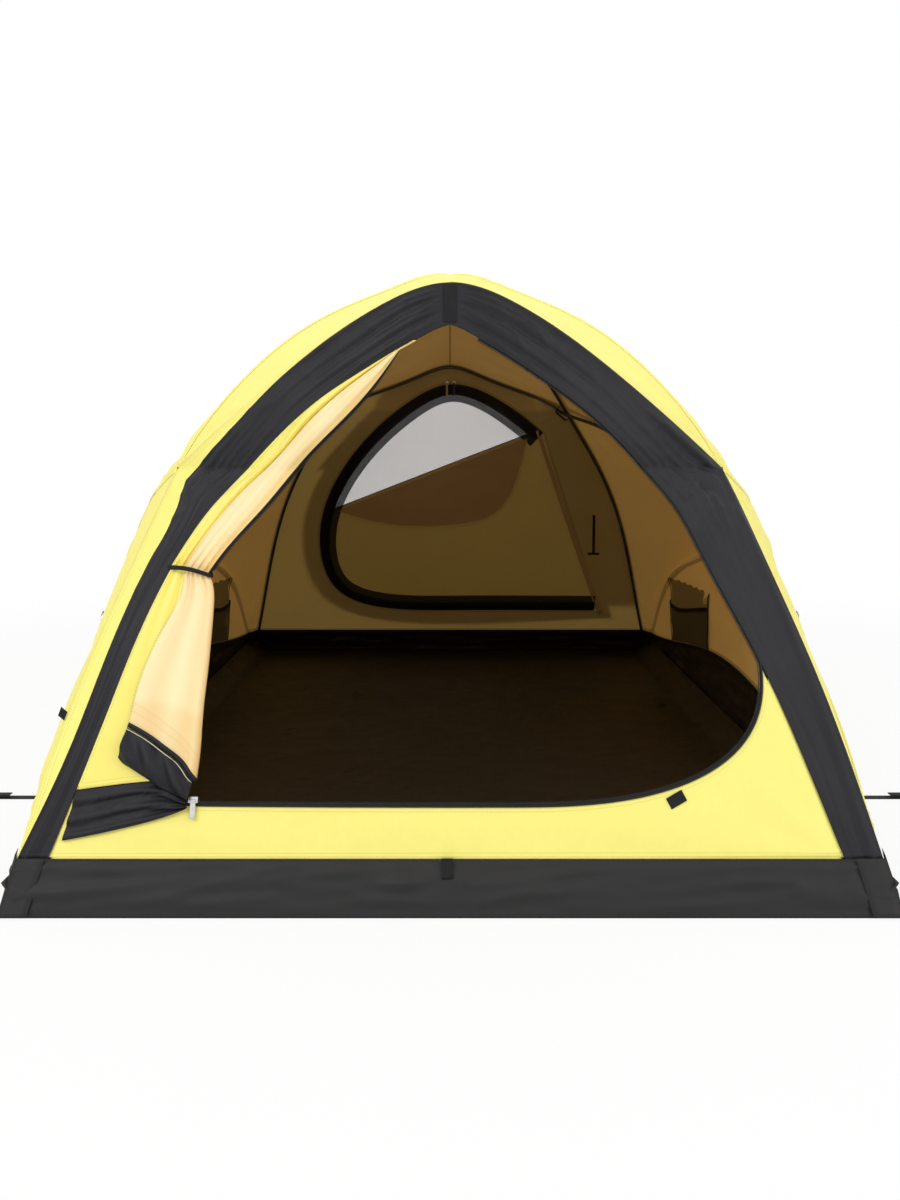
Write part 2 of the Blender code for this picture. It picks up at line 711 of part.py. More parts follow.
def tube(name, line, radius, finish, sides=2, cyclic=False, swell=None):
    """A round rod along a broken line; swell gives each point's share of the radius."""
    curve = bpy.data.curves.new(name, "CURVE")
    curve.dimensions = "3D"
    curve.bevel_depth = radius
    curve.bevel_resolution = sides
    curve.use_fill_caps = not cyclic
    spline = curve.splines.new("POLY")
    spline.points.add(len(line) - 1)
    for i, place in enumerate(line):
        spline.points[i].co = (*map(float, place), 1)
        spline.points[i].radius = 1 if swell is None else float(swell[i])
    spline.use_cyclic_u = cyclic
    return link(bpy.data.objects.new(name, curve), finish)


def with_sleeves(line):
    """A pole's line with its joint sleeves and its thin tips, and each point's swell."""
    run = np.concatenate([[0], np.cumsum(np.linalg.norm(np.diff(line, axis=0), axis=1))])
    total = run[-1]
    marks = {float(at): 1.0 for at in run}
    for joint in np.linspace(0, total, POLE_SECTIONS + 1)[1:-1]:
        for at in [at for at in marks if abs(at - joint) < SLEEVE_LENGTH]:
            del marks[at]
        for offset, swell in ((-1, 1.0), (-0.9, SLEEVE_SWELL), (0.9, SLEEVE_SWELL), (1, 1.0)):
            marks[joint + offset * SLEEVE_LENGTH / 2] = swell
    for end, inward in ((0.0, 1), (total, -1)):
        marks[end] = TIP_SWELL
        marks[end + inward * TIP_LENGTH] = TIP_SWELL
        marks[end + inward * (TIP_LENGTH + POLE_DIAMETER / 9)] = 1.0
    at = np.array(sorted(marks))
    points = np.column_stack([np.interp(at, run, line[:, k]) for k in range(3)])
    return points, [marks[place] for place in at]


def unit(vector):
    vector = np.asarray(vector, float)
    return vector / np.linalg.norm(vector)


# Tub floor

def tub_loops():
    """The tub's upper edge as one loop, and the floor's edge below it."""
    foot = front_band[:, 0]
    sill = FRONT_WALL.lift(sill_flat)[0]
    right = np.vstack([EDGE_FRONT, EDGE_SIDE[1:], EDGE_REAR[1:]])
    front = np.vstack([foot[::-1][:-1] * MIRROR, sill, foot[1:-1]])
    top = np.vstack([front, right, REAR_OUTER[::-1][1:REAR_BASE_STEPS], right[::-1][:-1] * MIRROR])
    base = top.copy()
    base[:, 2] = 0
    front_reach = abs(FRONT_LEG[-1][0])
    for i, point in enumerate(top):
        at_front = i < len(front) + 1
        at_rear = len(front) + len(right) - 1 <= i <= len(front) + len(right) + REAR_BASE_STEPS - 1
        if at_front or at_rear:
            reach = front_reach if at_front else REAR_LEG[-1][0]
            base[i, 0] = point[0] * HALF_W / reach
            base[i, 1] = -HALF_L if at_front else HALF_L
        else:
            share = (point[1] - FRONT_LEG[-1][1]) / (REAR_LEG[-1][1] - FRONT_LEG[-1][1])
            base[i, 0] = math.copysign(HALF_W, point[0])
            base[i, 1] = HALF_L * (2 * share - 1)
    return top, base


TUB_ROWS = 3


def build_tub():
    top, base = tub_loops()
    count = len(top)
    outer = np.stack([base + (top - base) * share for share in np.linspace(0, 1, TUB_ROWS + 1)])
    inner = outer.copy()
    for i in range(count):
        before, after = base[i - 1], base[(i + 1) % count]
        first, second = unit(base[i] - before), unit(after - base[i])
        normals = [np.array([-d[1], d[0], 0]) for d in (first, second)]
        middle = unit(normals[0] + normals[1])
        move = middle * TUB_CLOTH / float(middle @ normals[0])
        inner[:-1, i] += move
        inner[-1, i] = mitre(top[i], -middle, TUB_CLOTH)
    inner[0, :, 2] = TUB_CLOTH
    outer[-1, :, 2] -= SEAM_GAP / 2
    inner[-1, :, 2] -= SEAM_GAP / 2
    size = (TUB_ROWS + 1) * count
    faces = two_sided(grid_rings(TUB_ROWS + 1, count, True), outer.reshape(-1, 3), size)
    for i in range(count):
        a, b = TUB_ROWS * count + i, TUB_ROWS * count + (i + 1) % count
        faces.append([a, b, size + b, size + a])
    faces.append(list(range(count))[::-1])
    faces.append([size + i for i in range(count)])
    mesh_object("tub_floor", np.vstack([outer.reshape(-1, 3), inner.reshape(-1, 3)]), faces,
                "floor cloth")


# Poles, their tips and the cups they stand in

def behind(point, distance):
    """A point behind a seam, clear of both panels by a distance."""
    shared = seam_normals[key(point)]
    middle = unit(np.sum(shared, axis=0))
    lean = max(min(float(middle @ other) for other in shared), 0.5)
    return point - middle * (CLOTH + distance) / lean


RADIUS = POLE_DIAMETER / 2
CUP_BORE = RADIUS + CUP_CLEARANCE
CUP_OUTER = CUP_BORE + CUP_WALL
FOOT_INSET = TUB_CLOTH + CUP_OUTER + 0.0012


def wall_point(upper, lower, height):
    """A point of the tub's wall at a height, on the line between its edge and its base."""
    return lower + (upper - lower) * height / upper[2]


def diagonal_foot(leg, rear):
    corner = np.array([HALF_W, HALF_L if rear else -HALF_L, 0])
    place = wall_point(leg[-1], corner, POLE_FOOT_HEIGHT)
    return place + np.array([-FOOT_INSET, -FOOT_INSET if rear else FOOT_INSET, 0])


def arch_foot(leg, rear):
    side = 1 if rear else -1
    base = np.array([HALF_W, side * (HALF_L - POLE_FOOT_SPREAD), 0])
    place = wall_point(leg[-1], base, POLE_FOOT_HEIGHT)
    return place + np.array([-FOOT_INSET, -side * FOOT_INSET, 0])


def pole_line(stretches, start, end, dips):
    """A pole's middle line behind its seams; dips are the crossings where it passes inside."""
    points = [stretches[0][0]]
    for stretch in stretches:
        points.extend(stretch[1:])
    line = []
    for i, point in enumerate(points):
        near = min([np.linalg.norm(point - dip) for dip in dips], default=1.0)
        share = max(0.0, 1 - near / DIP_REACH)
        extra = (POLE_DIAMETER + 3 * MESH_GAP) * share * share * (3 - 2 * share)
        if i in (0, len(points) - 1):
            extra += 2 * (TUB_CLOTH - CLOTH)
        line.append(behind(point, POLE_TO_CLOTH + RADIUS + extra))
    return np.vstack([[start], line, [end]])


DIP_REACH = 0.150


def build_poles():
    mirror = [leg * MIRROR for leg in (PEAK_REAR, REAR_LEG)]
    first = pole_line([FRONT_LEG[::-1], PEAK_FRONT[::-1]] + mirror,
                      diagonal_foot(FRONT_LEG, False), diagonal_foot(REAR_LEG, True) * MIRROR, [])
    second = pole_line([FRONT_LEG[::-1], PEAK_FRONT[::-1]] + mirror, first[0], first[-1],
                       [PEAK]) * MIRROR
    arch_ties = [FRONT_TIE, FRONT_TIE * MIRROR]
    front = pole_line([SIDE_REAR[::-1], FRONT_SIDE[::-1], BROW[::-1]]
                      + [leg * MIRROR for leg in (BROW, FRONT_SIDE, SIDE_REAR)],
                      arch_foot(SIDE_REAR, True), arch_foot(SIDE_REAR, True) * MIRROR, arch_ties)
    rear_ties = [REAR_TIE, REAR_TIE * MIRROR, SIDE_TIE, SIDE_TIE * MIRROR]
    rear = pole_line([SIDE_FRONT[::-1], REAR_SIDE[::-1], REAR_BROW[::-1]]
                     + [leg * MIRROR for leg in (REAR_BROW, REAR_SIDE, SIDE_FRONT)],
                     arch_foot(SIDE_FRONT, False), arch_foot(SIDE_FRONT, False) * MIRROR, rear_ties)
    lines = {"diagonal_pole_1": first, "diagonal_pole_2": second,
             "front_arch_pole": front, "rear_arch_pole": rear}
    for name, line in lines.items():
        points, swell = with_sleeves(line)
        tube(name, points, RADIUS, "pole", sides=1, swell=swell)
    return lines


def boolean(obj, cutter, operation):
    """Apply a Boolean of one object on another and remove the second."""
    step = obj.modifiers.new(operation.lower(), "BOOLEAN")
    step.operation = operation
    step.solver = "EXACT"
    step.object = cutter
    bpy.context.view_layer.update()
    result = bpy.data.meshes.new_from_object(obj.evaluated_get(bpy.context.evaluated_depsgraph_get()))
    obj.modifiers.clear()
    obj.data = result
    bpy.data.objects.remove(cutter, do_unlink=True)


def upright(centre, radius, bottom, top, sides=16):
    bpy.ops.mesh.primitive_cylinder_add(vertices=sides, radius=radius, depth=top - bottom,
                                        location=(centre[0], centre[1], (top + bottom) / 2))
    return bpy.context.object


def block(size, centre):
    bpy.ops.mesh.primitive_cube_add(size=1, location=tuple(centre))
    made = bpy.context.object
    made.scale = size
    bpy.ops.object.transform_apply(location=False, rotation=False, scale=True)
    return made


def build_cups(lines):
    """A patch with two open cups in each floor corner, for a diagonal and an arch pole."""
    seat = TUB_CLOTH + MESH_GAP
    face = seat + CUP_PATCH_THICKNESS
    pairs = {"front_right": (lines["diagonal_pole_1"][0], lines["rear_arch_pole"][0]),
             "rear_right": (lines["diagonal_pole_2"][-1], lines["front_arch_pole"][0])}
    for name, feet in pairs.items():
        for side, label in ((1, name), (-1, name.replace("right", "left"))):
            middle = (feet[0] + feet[1]) / 2
            length = abs(feet[0][1] - feet[1][1]) + 2 * CUP_OUTER
            patch = block((2 * CUP_OUTER, length, CUP_PATCH_THICKNESS),
                          (middle[0] * side, middle[1], (seat + face) / 2))
            for foot in feet:
                place = (foot[0] * side, foot[1])
                boolean(patch, upright(place, CUP_OUTER * 0.98, seat + MESH_GAP, face + CUP_HEIGHT),
                        "UNION")
            for foot in feet:
                place = (foot[0] * side, foot[1])
                boolean(patch, upright(place, CUP_BORE, face, face + 2 * CUP_HEIGHT), "DIFFERENCE")
            patch.name = "corner_cups_" + label
            link(patch, "plastic", smooth=False)


# Webbing, rings and ties

def frame_path(place, first, second, offsets):
    """Points given as distances along two directions from a place."""
    return [place + first * a + second * b for a, b in offsets]


def webbing(name, path, across, width, thickness=None, finish="webbing"):
    """A flat strap: a path given its width along one direction."""
    across = unit(across) * width / 2
    grid = np.array([[point - across, point + across] for point in path])
    return sheet(name, grid, thickness or WEB_THICKNESS, finish, side=0)


def hairpin(length, wire, back):
    """A strap's path that runs out, round a wire and back, as (along, out) distances."""
    turn = wire + WEB_THICKNESS
    bend = [(length + turn * math.sin(a), turn - turn * math.cos(a))
            for a in np.linspace(0, math.pi, 7)]
    return [(0.0, 0.0)] + bend + [(length - back, 2 * turn)], (length, turn)


def d_ring(name, place, along, across, size):
    """A D ring whose straight bar lies across a strap's turned end."""
    half = size / 2
    bar = [(-half, 0.0), (half, 0.0)]
    bow = [(half * math.cos(a), half * 0.25 + half * math.sin(a))
           for a in np.linspace(0, math.pi, 8)]
    line = frame_path(place, across, along, bar + bow)
    return tube(name, line, RING_WIRE / 2, "metal", sides=1, cyclic=True)


class Cloth:
    """The inner and outer faces of the sewn panels, for finding where a piece meets them."""

    def __init__(self):
        points, faces = [], []
        for (grid, _, _), inner in zip(panels.values(), inner_faces):
            outer = grid.reshape(-1, 3)
            cut = two_sided(grid_rings(*grid.shape[:2]), outer, len(outer))
            faces += [[len(points) + corner for corner in face] for face in cut]
            points += [Vector(p) for p in np.vstack([outer, inner.reshape(-1, 3)])]
        self.tree = BVHTree.FromPolygons(points, faces)

    def hit(self, start, toward):
        beside_seam = Vector(start) + Vector((MESH_GAP, MESH_GAP, 0))
        found = self.tree.ray_cast(beside_seam, Vector(unit(toward)))
        if found[0] is None:
            raise ValueError("no cloth that way")
        return np.array(found[0]), np.array(found[1])


def seam_out(point):
    return unit(np.sum(seam_normals[key(point)], axis=0))


def build_tie(name, cloth, place, one, other, lift):
    """A strap sewn beside a pole crossing that holds both poles up against the cloth."""
    out = seam_out(place)
    one, other = unit(one), unit(other)
    if one @ other < 0:
        other = -other
    bisector = unit(one + other)
    bisector = unit(bisector - bisector @ out * out)
    half_angle = math.acos(min(float(one @ other), 1.0)) / 2
    across = unit(np.cross(out, bisector))
    fat = SLEEVE_SWELL * POLE_DIAMETER
    depth = (CLOTH + POLE_TO_CLOTH) / 0.8 + 2 * fat + 14 * MESH_GAP
    reach = fat / 2 / math.cos(half_angle) + TIE_WIDTH / 2 * math.tan(half_angle) + TIE_CLEARANCE
    rows = []
    for offset, share in ((-1, None), (-1, 0.8), (-0.8, 1.0), (0.8, 1.0), (1, 0.8), (1, None)):
        row = []
        for side in (-TIE_WIDTH / 2, TIE_WIDTH / 2):
            foot = place + across * reach * offset + bisector * side
            if share is None:
                found, _ = cloth.hit(foot - out * depth * 0.8, out)
                row.append(found - out * lift)
            else:
                row.append(foot - out * depth * share)
        rows.append(row)
    sheet(name, np.array(rows), TIE_THICKNESS, "webbing", side=0)


def build_ties(cloth):
    forward = PEAK_FRONT[1] - PEAK
    build_tie("tie_peak", cloth, PEAK, forward, forward * MIRROR, TIE_END_LIFT)
    spots = {"tie_front": (FRONT_TIE, FRONT_LEG[1], BROW[-2], TIE_BAND_LIFT),
             "tie_rear": (REAR_TIE, REAR_LEG[1], REAR_BROW[-2], TIE_REAR_LIFT),
             "tie_side": (SIDE_TIE, SIDE_FRONT[1], FRONT_SIDE[-2], TIE_END_LIFT)}
    for name, (place, one, other, lift) in spots.items():
        for side, label in ((np.ones(3), "_right"), (MIRROR, "_left")):
            build_tie(name + label, cloth, place * side, (one - place) * side,
                      (other - place) * side, lift)


def build_stake_straps():
    """A strap from each side's hem, laid out along the ground to its ring."""
    across = np.array([0.0, 1.0, 0.0])
    up = np.array([0.0, 0.0, 1.0])
    for side, label in ((1, "right"), (-1, "left")):
        out = np.array([side, 0.0, 0.0])
        start = np.array([side * (HALF_W + SEAM_GAP), STAKE_STRAP_PLACE,
                          WEB_THICKNESS / 2 + MESH_GAP])
        turned, bar = hairpin(STAKE_STRAP_REACH - HALF_W - RING_SIZE, RING_WIRE / 2, STRAP_FOLD)
        path = frame_path(start, out, up, turned)
        strap = webbing("stake_strap_" + label, path, across, WEB_WIDTH)
        centre = frame_path(start, out, up, [bar])[0]
        ring = d_ring("stake_ring_" + label, centre, out, across, RING_SIZE)
        put_pivot(strap, start)
        put_pivot(ring, start)


def build_guy_points():
    """A webbing tab with a D ring on each side's front leg seam."""
    place = SIDE_FRONT[GUY_SEAM_STEP]
    along = unit(SIDE_FRONT[GUY_SEAM_STEP + 1] - place)
    out = seam_out(place)
    across = unit(np.cross(out, along))
    out = unit(np.cross(along, across))
    for side, label in ((np.ones(3), "right"), (MIRROR, "left")):
        lift = out * (WEB_THICKNESS / 2 + GUY_TAB_LIFT)
        turned, bar = hairpin(GUY_TAB_LENGTH, RING_WIRE / 2, GUY_TAB_LENGTH * 0.7)
        turned[0] = (0.0, SMALL_LIFT - GUY_TAB_LIFT)
        path = np.array(frame_path(place + lift, along, out, turned)) * side
        webbing("guy_tab_" + label, path, across * side, WEB_WIDTH * 0.75)
        centre = frame_path(place + lift, along, out, [bar])[0] * side
        ring = d_ring("guy_ring_" + label, centre, along * side, across * side, RING_SIZE * 0.85)
        put_pivot(ring, centre)


def build_pockets(cloth):
    """A net pocket with an elastic top on each side wall, bulging a little into the cabin."""
    rows, columns = 6, 10
    for side, label in ((1, "right"), (-1, "left")):
        grid = np.zeros((rows + 1, columns + 1, 3))
        for i, t in enumerate(np.linspace(0, 1, rows + 1)):
            for j, s in enumerate(np.linspace(0, 1, columns + 1)):
                y = POCKET_FRONT + (POCKET_BACK - POCKET_FRONT) * s
                z = POCKET_BOTTOM + (POCKET_TOP - POCKET_BOTTOM) * t
                found, _ = cloth.hit((0, y, z), (side, 0, 0))
                bulge = POCKET_DEPTH * math.sin(math.pi * s) ** 0.7 * t ** 0.6
                grid[i, j] = found - np.array([side, 0, 0]) * (SMALL_LIFT + bulge)
        if side == 1:
            grid = grid[:, ::-1]
        sheet("pocket_" + label, grid, NET_THICKNESS, "net", side=1)


# Front door

def wall_line(points, out):
    """Points of the front wall above (x, z) points, moved out from its face."""
    return FRONT_WALL.lift(np.asarray(points), -out)


def left_edge(z, inset=0.0):
    """The left band's inner edge at a height, as x."""
    return inset - np.interp(z, BAND_INNER[:, 1], BAND_INNER[:, 0])


def build_door_roll():
    """The open door's upper part: gathered in lengthwise folds from the crown to the tie."""
    rows, columns = 12, 18
    grid = np.zeros((rows + 1, columns + 1, 3))
    for i, t in enumerate(np.linspace(0, 1, rows + 1)):
        z = DOOR_TOP + (TIE_HEIGHT - DOOR_TOP) * t
        edge = left_edge(z, ROLL_INSET)
        width = ROLL_LEAST + (ROLL_WIDTH - ROLL_LEAST) * math.sin(math.pi / 2 * min(t / 0.65, 1))
        width = width * (1 - t ** 8) + TIED_WIDTH * t ** 8
        gather = FOLD_DEPTH * (GATHERED + (1 - GATHERED) * math.sin(math.pi * t))
        for j, s in enumerate(np.linspace(0, 1, columns + 1)):
            x = edge + width * s
            fold = (1 - math.cos(2 * math.pi * ROLL_FOLDS * s)) / 2
            loose = min(1.0, s / SEWN_SHARE)
            out = (ROLL_LIFT + gather * fold * min(1.0, 3 * s)) * loose - CLOTH / 2 * (1 - loose)
            grid[i, j] = wall_line([x, z + ROLL_SLANT * s * t], out)
    return sheet("door_flap_upper", grid[:, ::-1], DOOR_CLOTH, "inner cloth", side=0)


def build_door_tail():
    """The door below its tie: one layer from the sewn edge to the fold, one turned back over it."""
    rows, columns = 10, 18
    grid = np.zeros((rows + 1, columns + 1, 3))
    for i, t in enumerate(np.linspace(0, 1, rows + 1)):
        open_share = min(1.0, t * 3) ** 0.5
        left_z = TAIL_TOP + (TAIL_BOTTOM - TAIL_TOP) * t
        for j, s in enumerate(np.linspace(0, 1, columns + 1)):
            if s < TAIL_TURN:
                across = s / TAIL_TURN
                z = left_z
                start = left_edge(z, TAIL_INSET)
                fold = TAIL_FOLD_X + TAIL_FOLD_DRIFT * t
                x = start + (fold - start) * across
                loose = min(1.0, across / SEWN_SHARE)
                out = TAIL_LIFT * loose - CLOTH / 2 * (1 - loose)
            else:
                across = (s - TAIL_TURN) / (1 - TAIL_TURN)
                hem = TAIL_BOTTOM + HEM_RISE * across
                z = TAIL_TOP + (hem - TAIL_TOP) * t
                fold = TAIL_FOLD_X + TAIL_FOLD_DRIFT * t
                back = left_edge(z, TAIL_INSET) + 0.012 + 0.004 * open_share
                reach = fold - (fold - back) * (0.75 + 0.10 * open_share)
                x = fold + (reach - fold) * across
                out = TAIL_LIFT + TAIL_LAYERS * math.sin(math.pi * min(across * 1.6, 0.5)) ** 0.7
                ripple = math.sin(2 * math.pi * TAIL_FOLDS * across + 0.6)
                out += TAIL_RIPPLE * (1 + ripple) * math.sin(math.pi * across) ** 0.5 * (0.4 + 0.6 * t)
            grid[i, j] = wall_line([x, z], out)
    return sheet("door_flap_tail", grid[:, ::-1], DOOR_CLOTH, "inner cloth", side=0)


def build_door_tie():
    """A strap sewn to the band that comes round the gathered door, just above its waist."""
    height = TIE_HEIGHT + TIE_STRAP_RISE
    edge = left_edge(height)
    front = ROLL_LIFT + FOLD_DEPTH * (GATHERED + 0.2) + DOOR_CLOTH + TIE_THICKNESS
    back = -CLOTH - 3 * SMALL_LIFT - TIE_THICKNESS / 2
    right = edge + TIED_WIDTH + TIE_STRAP_ROOM
    radius = (front - back) / 2
    path = [(edge - 2 * TIE_STRAP, SMALL_LIFT + TIE_THICKNESS / 2), (edge - TIE_STRAP, front * 0.6),
            (edge, front)]
    path += [(right + radius * math.sin(angle), (front + back) / 2 + radius * math.cos(angle))
             for angle in np.linspace(0, math.pi, 7)]
    path += [(edge, back), (edge - TIE_STRAP, back)]
    line = [wall_line([x, height], out) for x, out in path]
    up = FRONT_WALL.lift([edge, height + TIE_STRAP]) - FRONT_WALL.lift([edge, height])
    webbing("door_tie_strap", line, up, TIE_STRAP, TIE_THICKNESS)


def put_pivot(obj, pivot):
    """Move an object's origin to its joint, leaving its shape where it is."""
    obj.data.transform(Matrix.Translation(-Vector(pivot)))
    obj.location = Vector(pivot)
    return obj


def facing(first, second):
    """A turn that takes X to the first direction and Z towards the second."""
    x = unit(first)
    y = unit(np.cross(second, x))
    z = np.cross(x, y)
    return Matrix(np.column_stack([x, y, z]).tolist()).to_4x4()


def rod_along_x(radius, length, centre):
    bpy.ops.mesh.primitive_cylinder_add(vertices=12, radius=radius, depth=length,
                                        location=tuple(centre), rotation=(0, math.pi / 2, 0))
    return bpy.context.object


def plate(name, size, centre, turn, finish, bevel=0.0, bore=None):
    """A small block, turned and placed; bore is the radius and height of a hole along its X."""
    made = block(size, (0, 0, 0))
    if bore:
        boolean(made, rod_along_x(bore[0], 2 * size[0], (0, 0, bore[1])), "DIFFERENCE")
    made.data.transform(Matrix.Translation(Vector(centre)) @ turn)
    if bevel:
        edge = made.modifiers.new("edges", "BEVEL")
        edge.width = bevel
        edge.segments = 1
    made.name = name
    return link(made, finish, smooth=False)


def offset_left(path, gap):
    """A flat line moved to its left by a gap."""
    tangent = np.gradient(path, axis=0)
    tangent /= np.linalg.norm(tangent, axis=1)[:, None]
    return path + np.column_stack([-tangent[:, 1], tangent[:, 0]]) * gap


def build_front_zip():
    """The zip's cord round the doorway, its slider and pull, and the strip still zipped shut."""
    band = band_between(SILL[-1, 1], ZIP_TOP, 12)[1:]
    path = resample(np.vstack([SILL, band]), ZIP_STEPS)
    edge = offset_left(path, ZIP_CORD / 2 + SEAM_GAP)
    tube("door_zip", FRONT_WALL.lift(edge, CLOTH / 2), ZIP_CORD / 2, "plastic", sides=1)

    z = np.interp(SLIDER_PLACE, edge[:ZIP_STEPS // 2, 0], edge[:ZIP_STEPS // 2, 1])
    far = np.interp(SLIDER_PLACE + SLIDER_TRAVEL, edge[:ZIP_STEPS // 2, 0],
                    edge[:ZIP_STEPS // 2, 1])
    start = FRONT_WALL.lift([SLIDER_PLACE, z], CLOTH / 2)
    run = unit(FRONT_WALL.lift([SLIDER_PLACE + SLIDER_TRAVEL, far], CLOTH / 2) - start)
    up = unit(start - FRONT_WALL.lift([SLIDER_PLACE, z - 0.03], CLOTH / 2))
    out = unit(np.cross(run, up))
    size = (SLIDER_LENGTH, SLIDER_DEPTH, SLIDER_HEIGHT)
    plate("front_zip_slider", size, start + up * SLIDER_RAISE, facing(run, up), "metal",
          bore=(ZIP_CORD / 2 + SLIDER_CLEARANCE, -SLIDER_RAISE))
    hang = start + out * (SLIDER_DEPTH / 2 + MESH_GAP + PULL_THICKNESS / 2) + up * SLIDER_RAISE
    pull = plate("front_zip_pull", (PULL_WIDTH, PULL_THICKNESS, PULL_LENGTH),
                 hang - up * (PULL_LENGTH / 2 - PULL_HEAD), facing(run, up), "metal", PULL_BEVEL)
    put_pivot(pull, hang)
    put_pivot(bpy.data.objects["front_zip_slider"], start)

    low = np.linspace(*STRIP_LOW, STRIP_STEPS)
    high = np.linspace(*STRIP_HIGH, STRIP_STEPS)
    strip_flat = np.stack([low * (1 - t) + high * t for t in np.linspace(0, 1, 4)])
    strip = wall_line(strip_flat, ZIP_CORD / 2 + DOOR_CLOTH / 2 + MESH_GAP)
    sheet("zipped_door_strip", strip, DOOR_CLOTH, "black cloth", side=0)


# Rear door

def outline_split():
    """The rear doorway's rim: above the window's fold, below it, and all but the hinge side."""
    ring = resample(REAR_DOOR, FINE * 4)
    top = int(np.argmax(ring[:, 1]))
    right = int(np.argmin(abs(ring[:top, 1] - WINDOW_FOLD_RIGHT)))
    low = top + int(np.argmin(ring[top:, 0]))
    left = top + int(np.argmin(abs(ring[top:low, 1] - WINDOW_FOLD_LEFT)))
    gap = np.where(np.arange(len(ring)) < right, HINGE_GAP, REAR_DOOR_GAP)[:, None]
    ring = inside(ring, REAR_DOOR_MIDDLE, gap)
    above = ring[right:left + 1][::-1]
    below = np.vstack([ring[left:], ring[1:right + 1]])
    return above, below, ring[right:]


def lens(first, second, columns, rows):
    """A flat sheet between two lines that share their ends."""
    first, second = resample(first, columns), resample(second, columns)
    return np.stack([first * (1 - t) + second * t for t in np.linspace(0, 1, rows + 1)])


def inside(line, middle, gap):
    """A line drawn in towards a middle point by a gap."""
    away = line - middle
    size = np.linalg.norm(away, axis=-1, keepdims=True)
    return middle + away * (1 - gap / size)


def build_rear_door():
    """The rear door: a solid lower panel, a net window, its cover folded down, and the zip."""
    above, below, zipped = outline_split()
    middle = REAR_DOOR_MIDDLE
    fold = np.linspace(below[0], below[-1], 17)
    slope = unit(fold[-1] - fold[0])
    square = np.array([-slope[1], slope[0]])
    clear = square * SEAM_GAP / 2
    pivot = REAR_WALL.lift(HINGE_FOOT)
    made = [sheet("rear_door_panel", REAR_WALL.lift(lens(below, fold - clear, 20, 4)), CLOTH,
                  "yellow cloth", side=-1),
            sheet("rear_door_net", REAR_WALL.lift(lens(fold + clear, above, 20, 3)),
                  NET_THICKNESS, "net", side=-1)]

    drawn = inside(above, middle, REAR_ZIP_BAND + REAR_DOOR_GAP)
    height = (drawn - fold[0]) @ square
    drawn = drawn[height > COVER_FOLD]
    height = (drawn - fold[0]) @ square
    folded = drawn - 2 * np.outer(height, square)
    crease = np.linspace(folded[0], folded[-1], 17)
    crease += np.outer(-COVER_FOLD - (crease - fold[0]) @ square, square)
    cover = lens(crease, folded, 20, 4)
    fall = np.maximum(-(cover - fold[0]) @ square - COVER_FOLD, 0)
    surface = REAR_WALL.lift(cover) - np.array([0, 1, 0]) * (COVER_LIFT + COVER_LEAN * fall)[..., None]
    made.append(sheet("rear_window_cover", surface, CLOTH, "yellow cloth", side=0))

    ring = resample(zipped, ZIP_STEPS)
    rim = np.stack([ring, inside(ring, middle, REAR_ZIP_BAND)])
    band = REAR_WALL.lift(rim, -(CLOTH + BAND_LIFT))
    made.append(sheet("rear_zip_band", band, TIE_THICKNESS, "black cloth", side=0))
    for obj in made:
        put_pivot(obj, pivot)

    crown = zipped[:, 1].max()
    level = np.array([1.0, 0.0, 0.0])
    up = np.array([0.0, 0.0, 1.0])
    for side, label in ((1, "right"), (-1, "left")):
        x = REAR_SLIDER_MIDDLE + side * REAR_SLIDER_SPREAD
        place = REAR_WALL.lift([x, crown + SLIDER_HEIGHT / 2 + REAR_DOOR_GAP],
                               -(CLOTH + REAR_TRIM_LIFT + SLIDER_DEPTH / 2))
        plate("rear_zip_slider_" + label, (SLIDER_LENGTH * 0.7, SLIDER_DEPTH, SLIDER_HEIGHT), place,
              facing(level, up), "metal", 0.0006)
        hang = place - np.array([0, SLIDER_DEPTH / 2 + MESH_GAP + PULL_THICKNESS / 2, 0])
        pull = plate("rear_zip_pull_" + label, (PULL_WIDTH * 0.8, PULL_THICKNESS, REAR_PULL_LENGTH),
                     hang - up * (REAR_PULL_LENGTH / 2 - PULL_HEAD), facing(level, up), "metal",
                     PULL_BEVEL)
        put_pivot(pull, hang)

    top = REAR_WALL.lift(REAR_TIE_PLACE, -(CLOTH + REAR_TIE_LIFT))
    path = [top - up * REAR_TIE_LENGTH * share for share in np.linspace(0, 1, 5)]
    tie = webbing("rear_tie", path, level, REAR_TIE_WIDTH, TIE_THICKNESS)
    boolean(tie, rod_along_x(TOGGLE_DIAMETER / 2, TOGGLE_LENGTH, path[-1]), "UNION")
    put_pivot(tie, top)


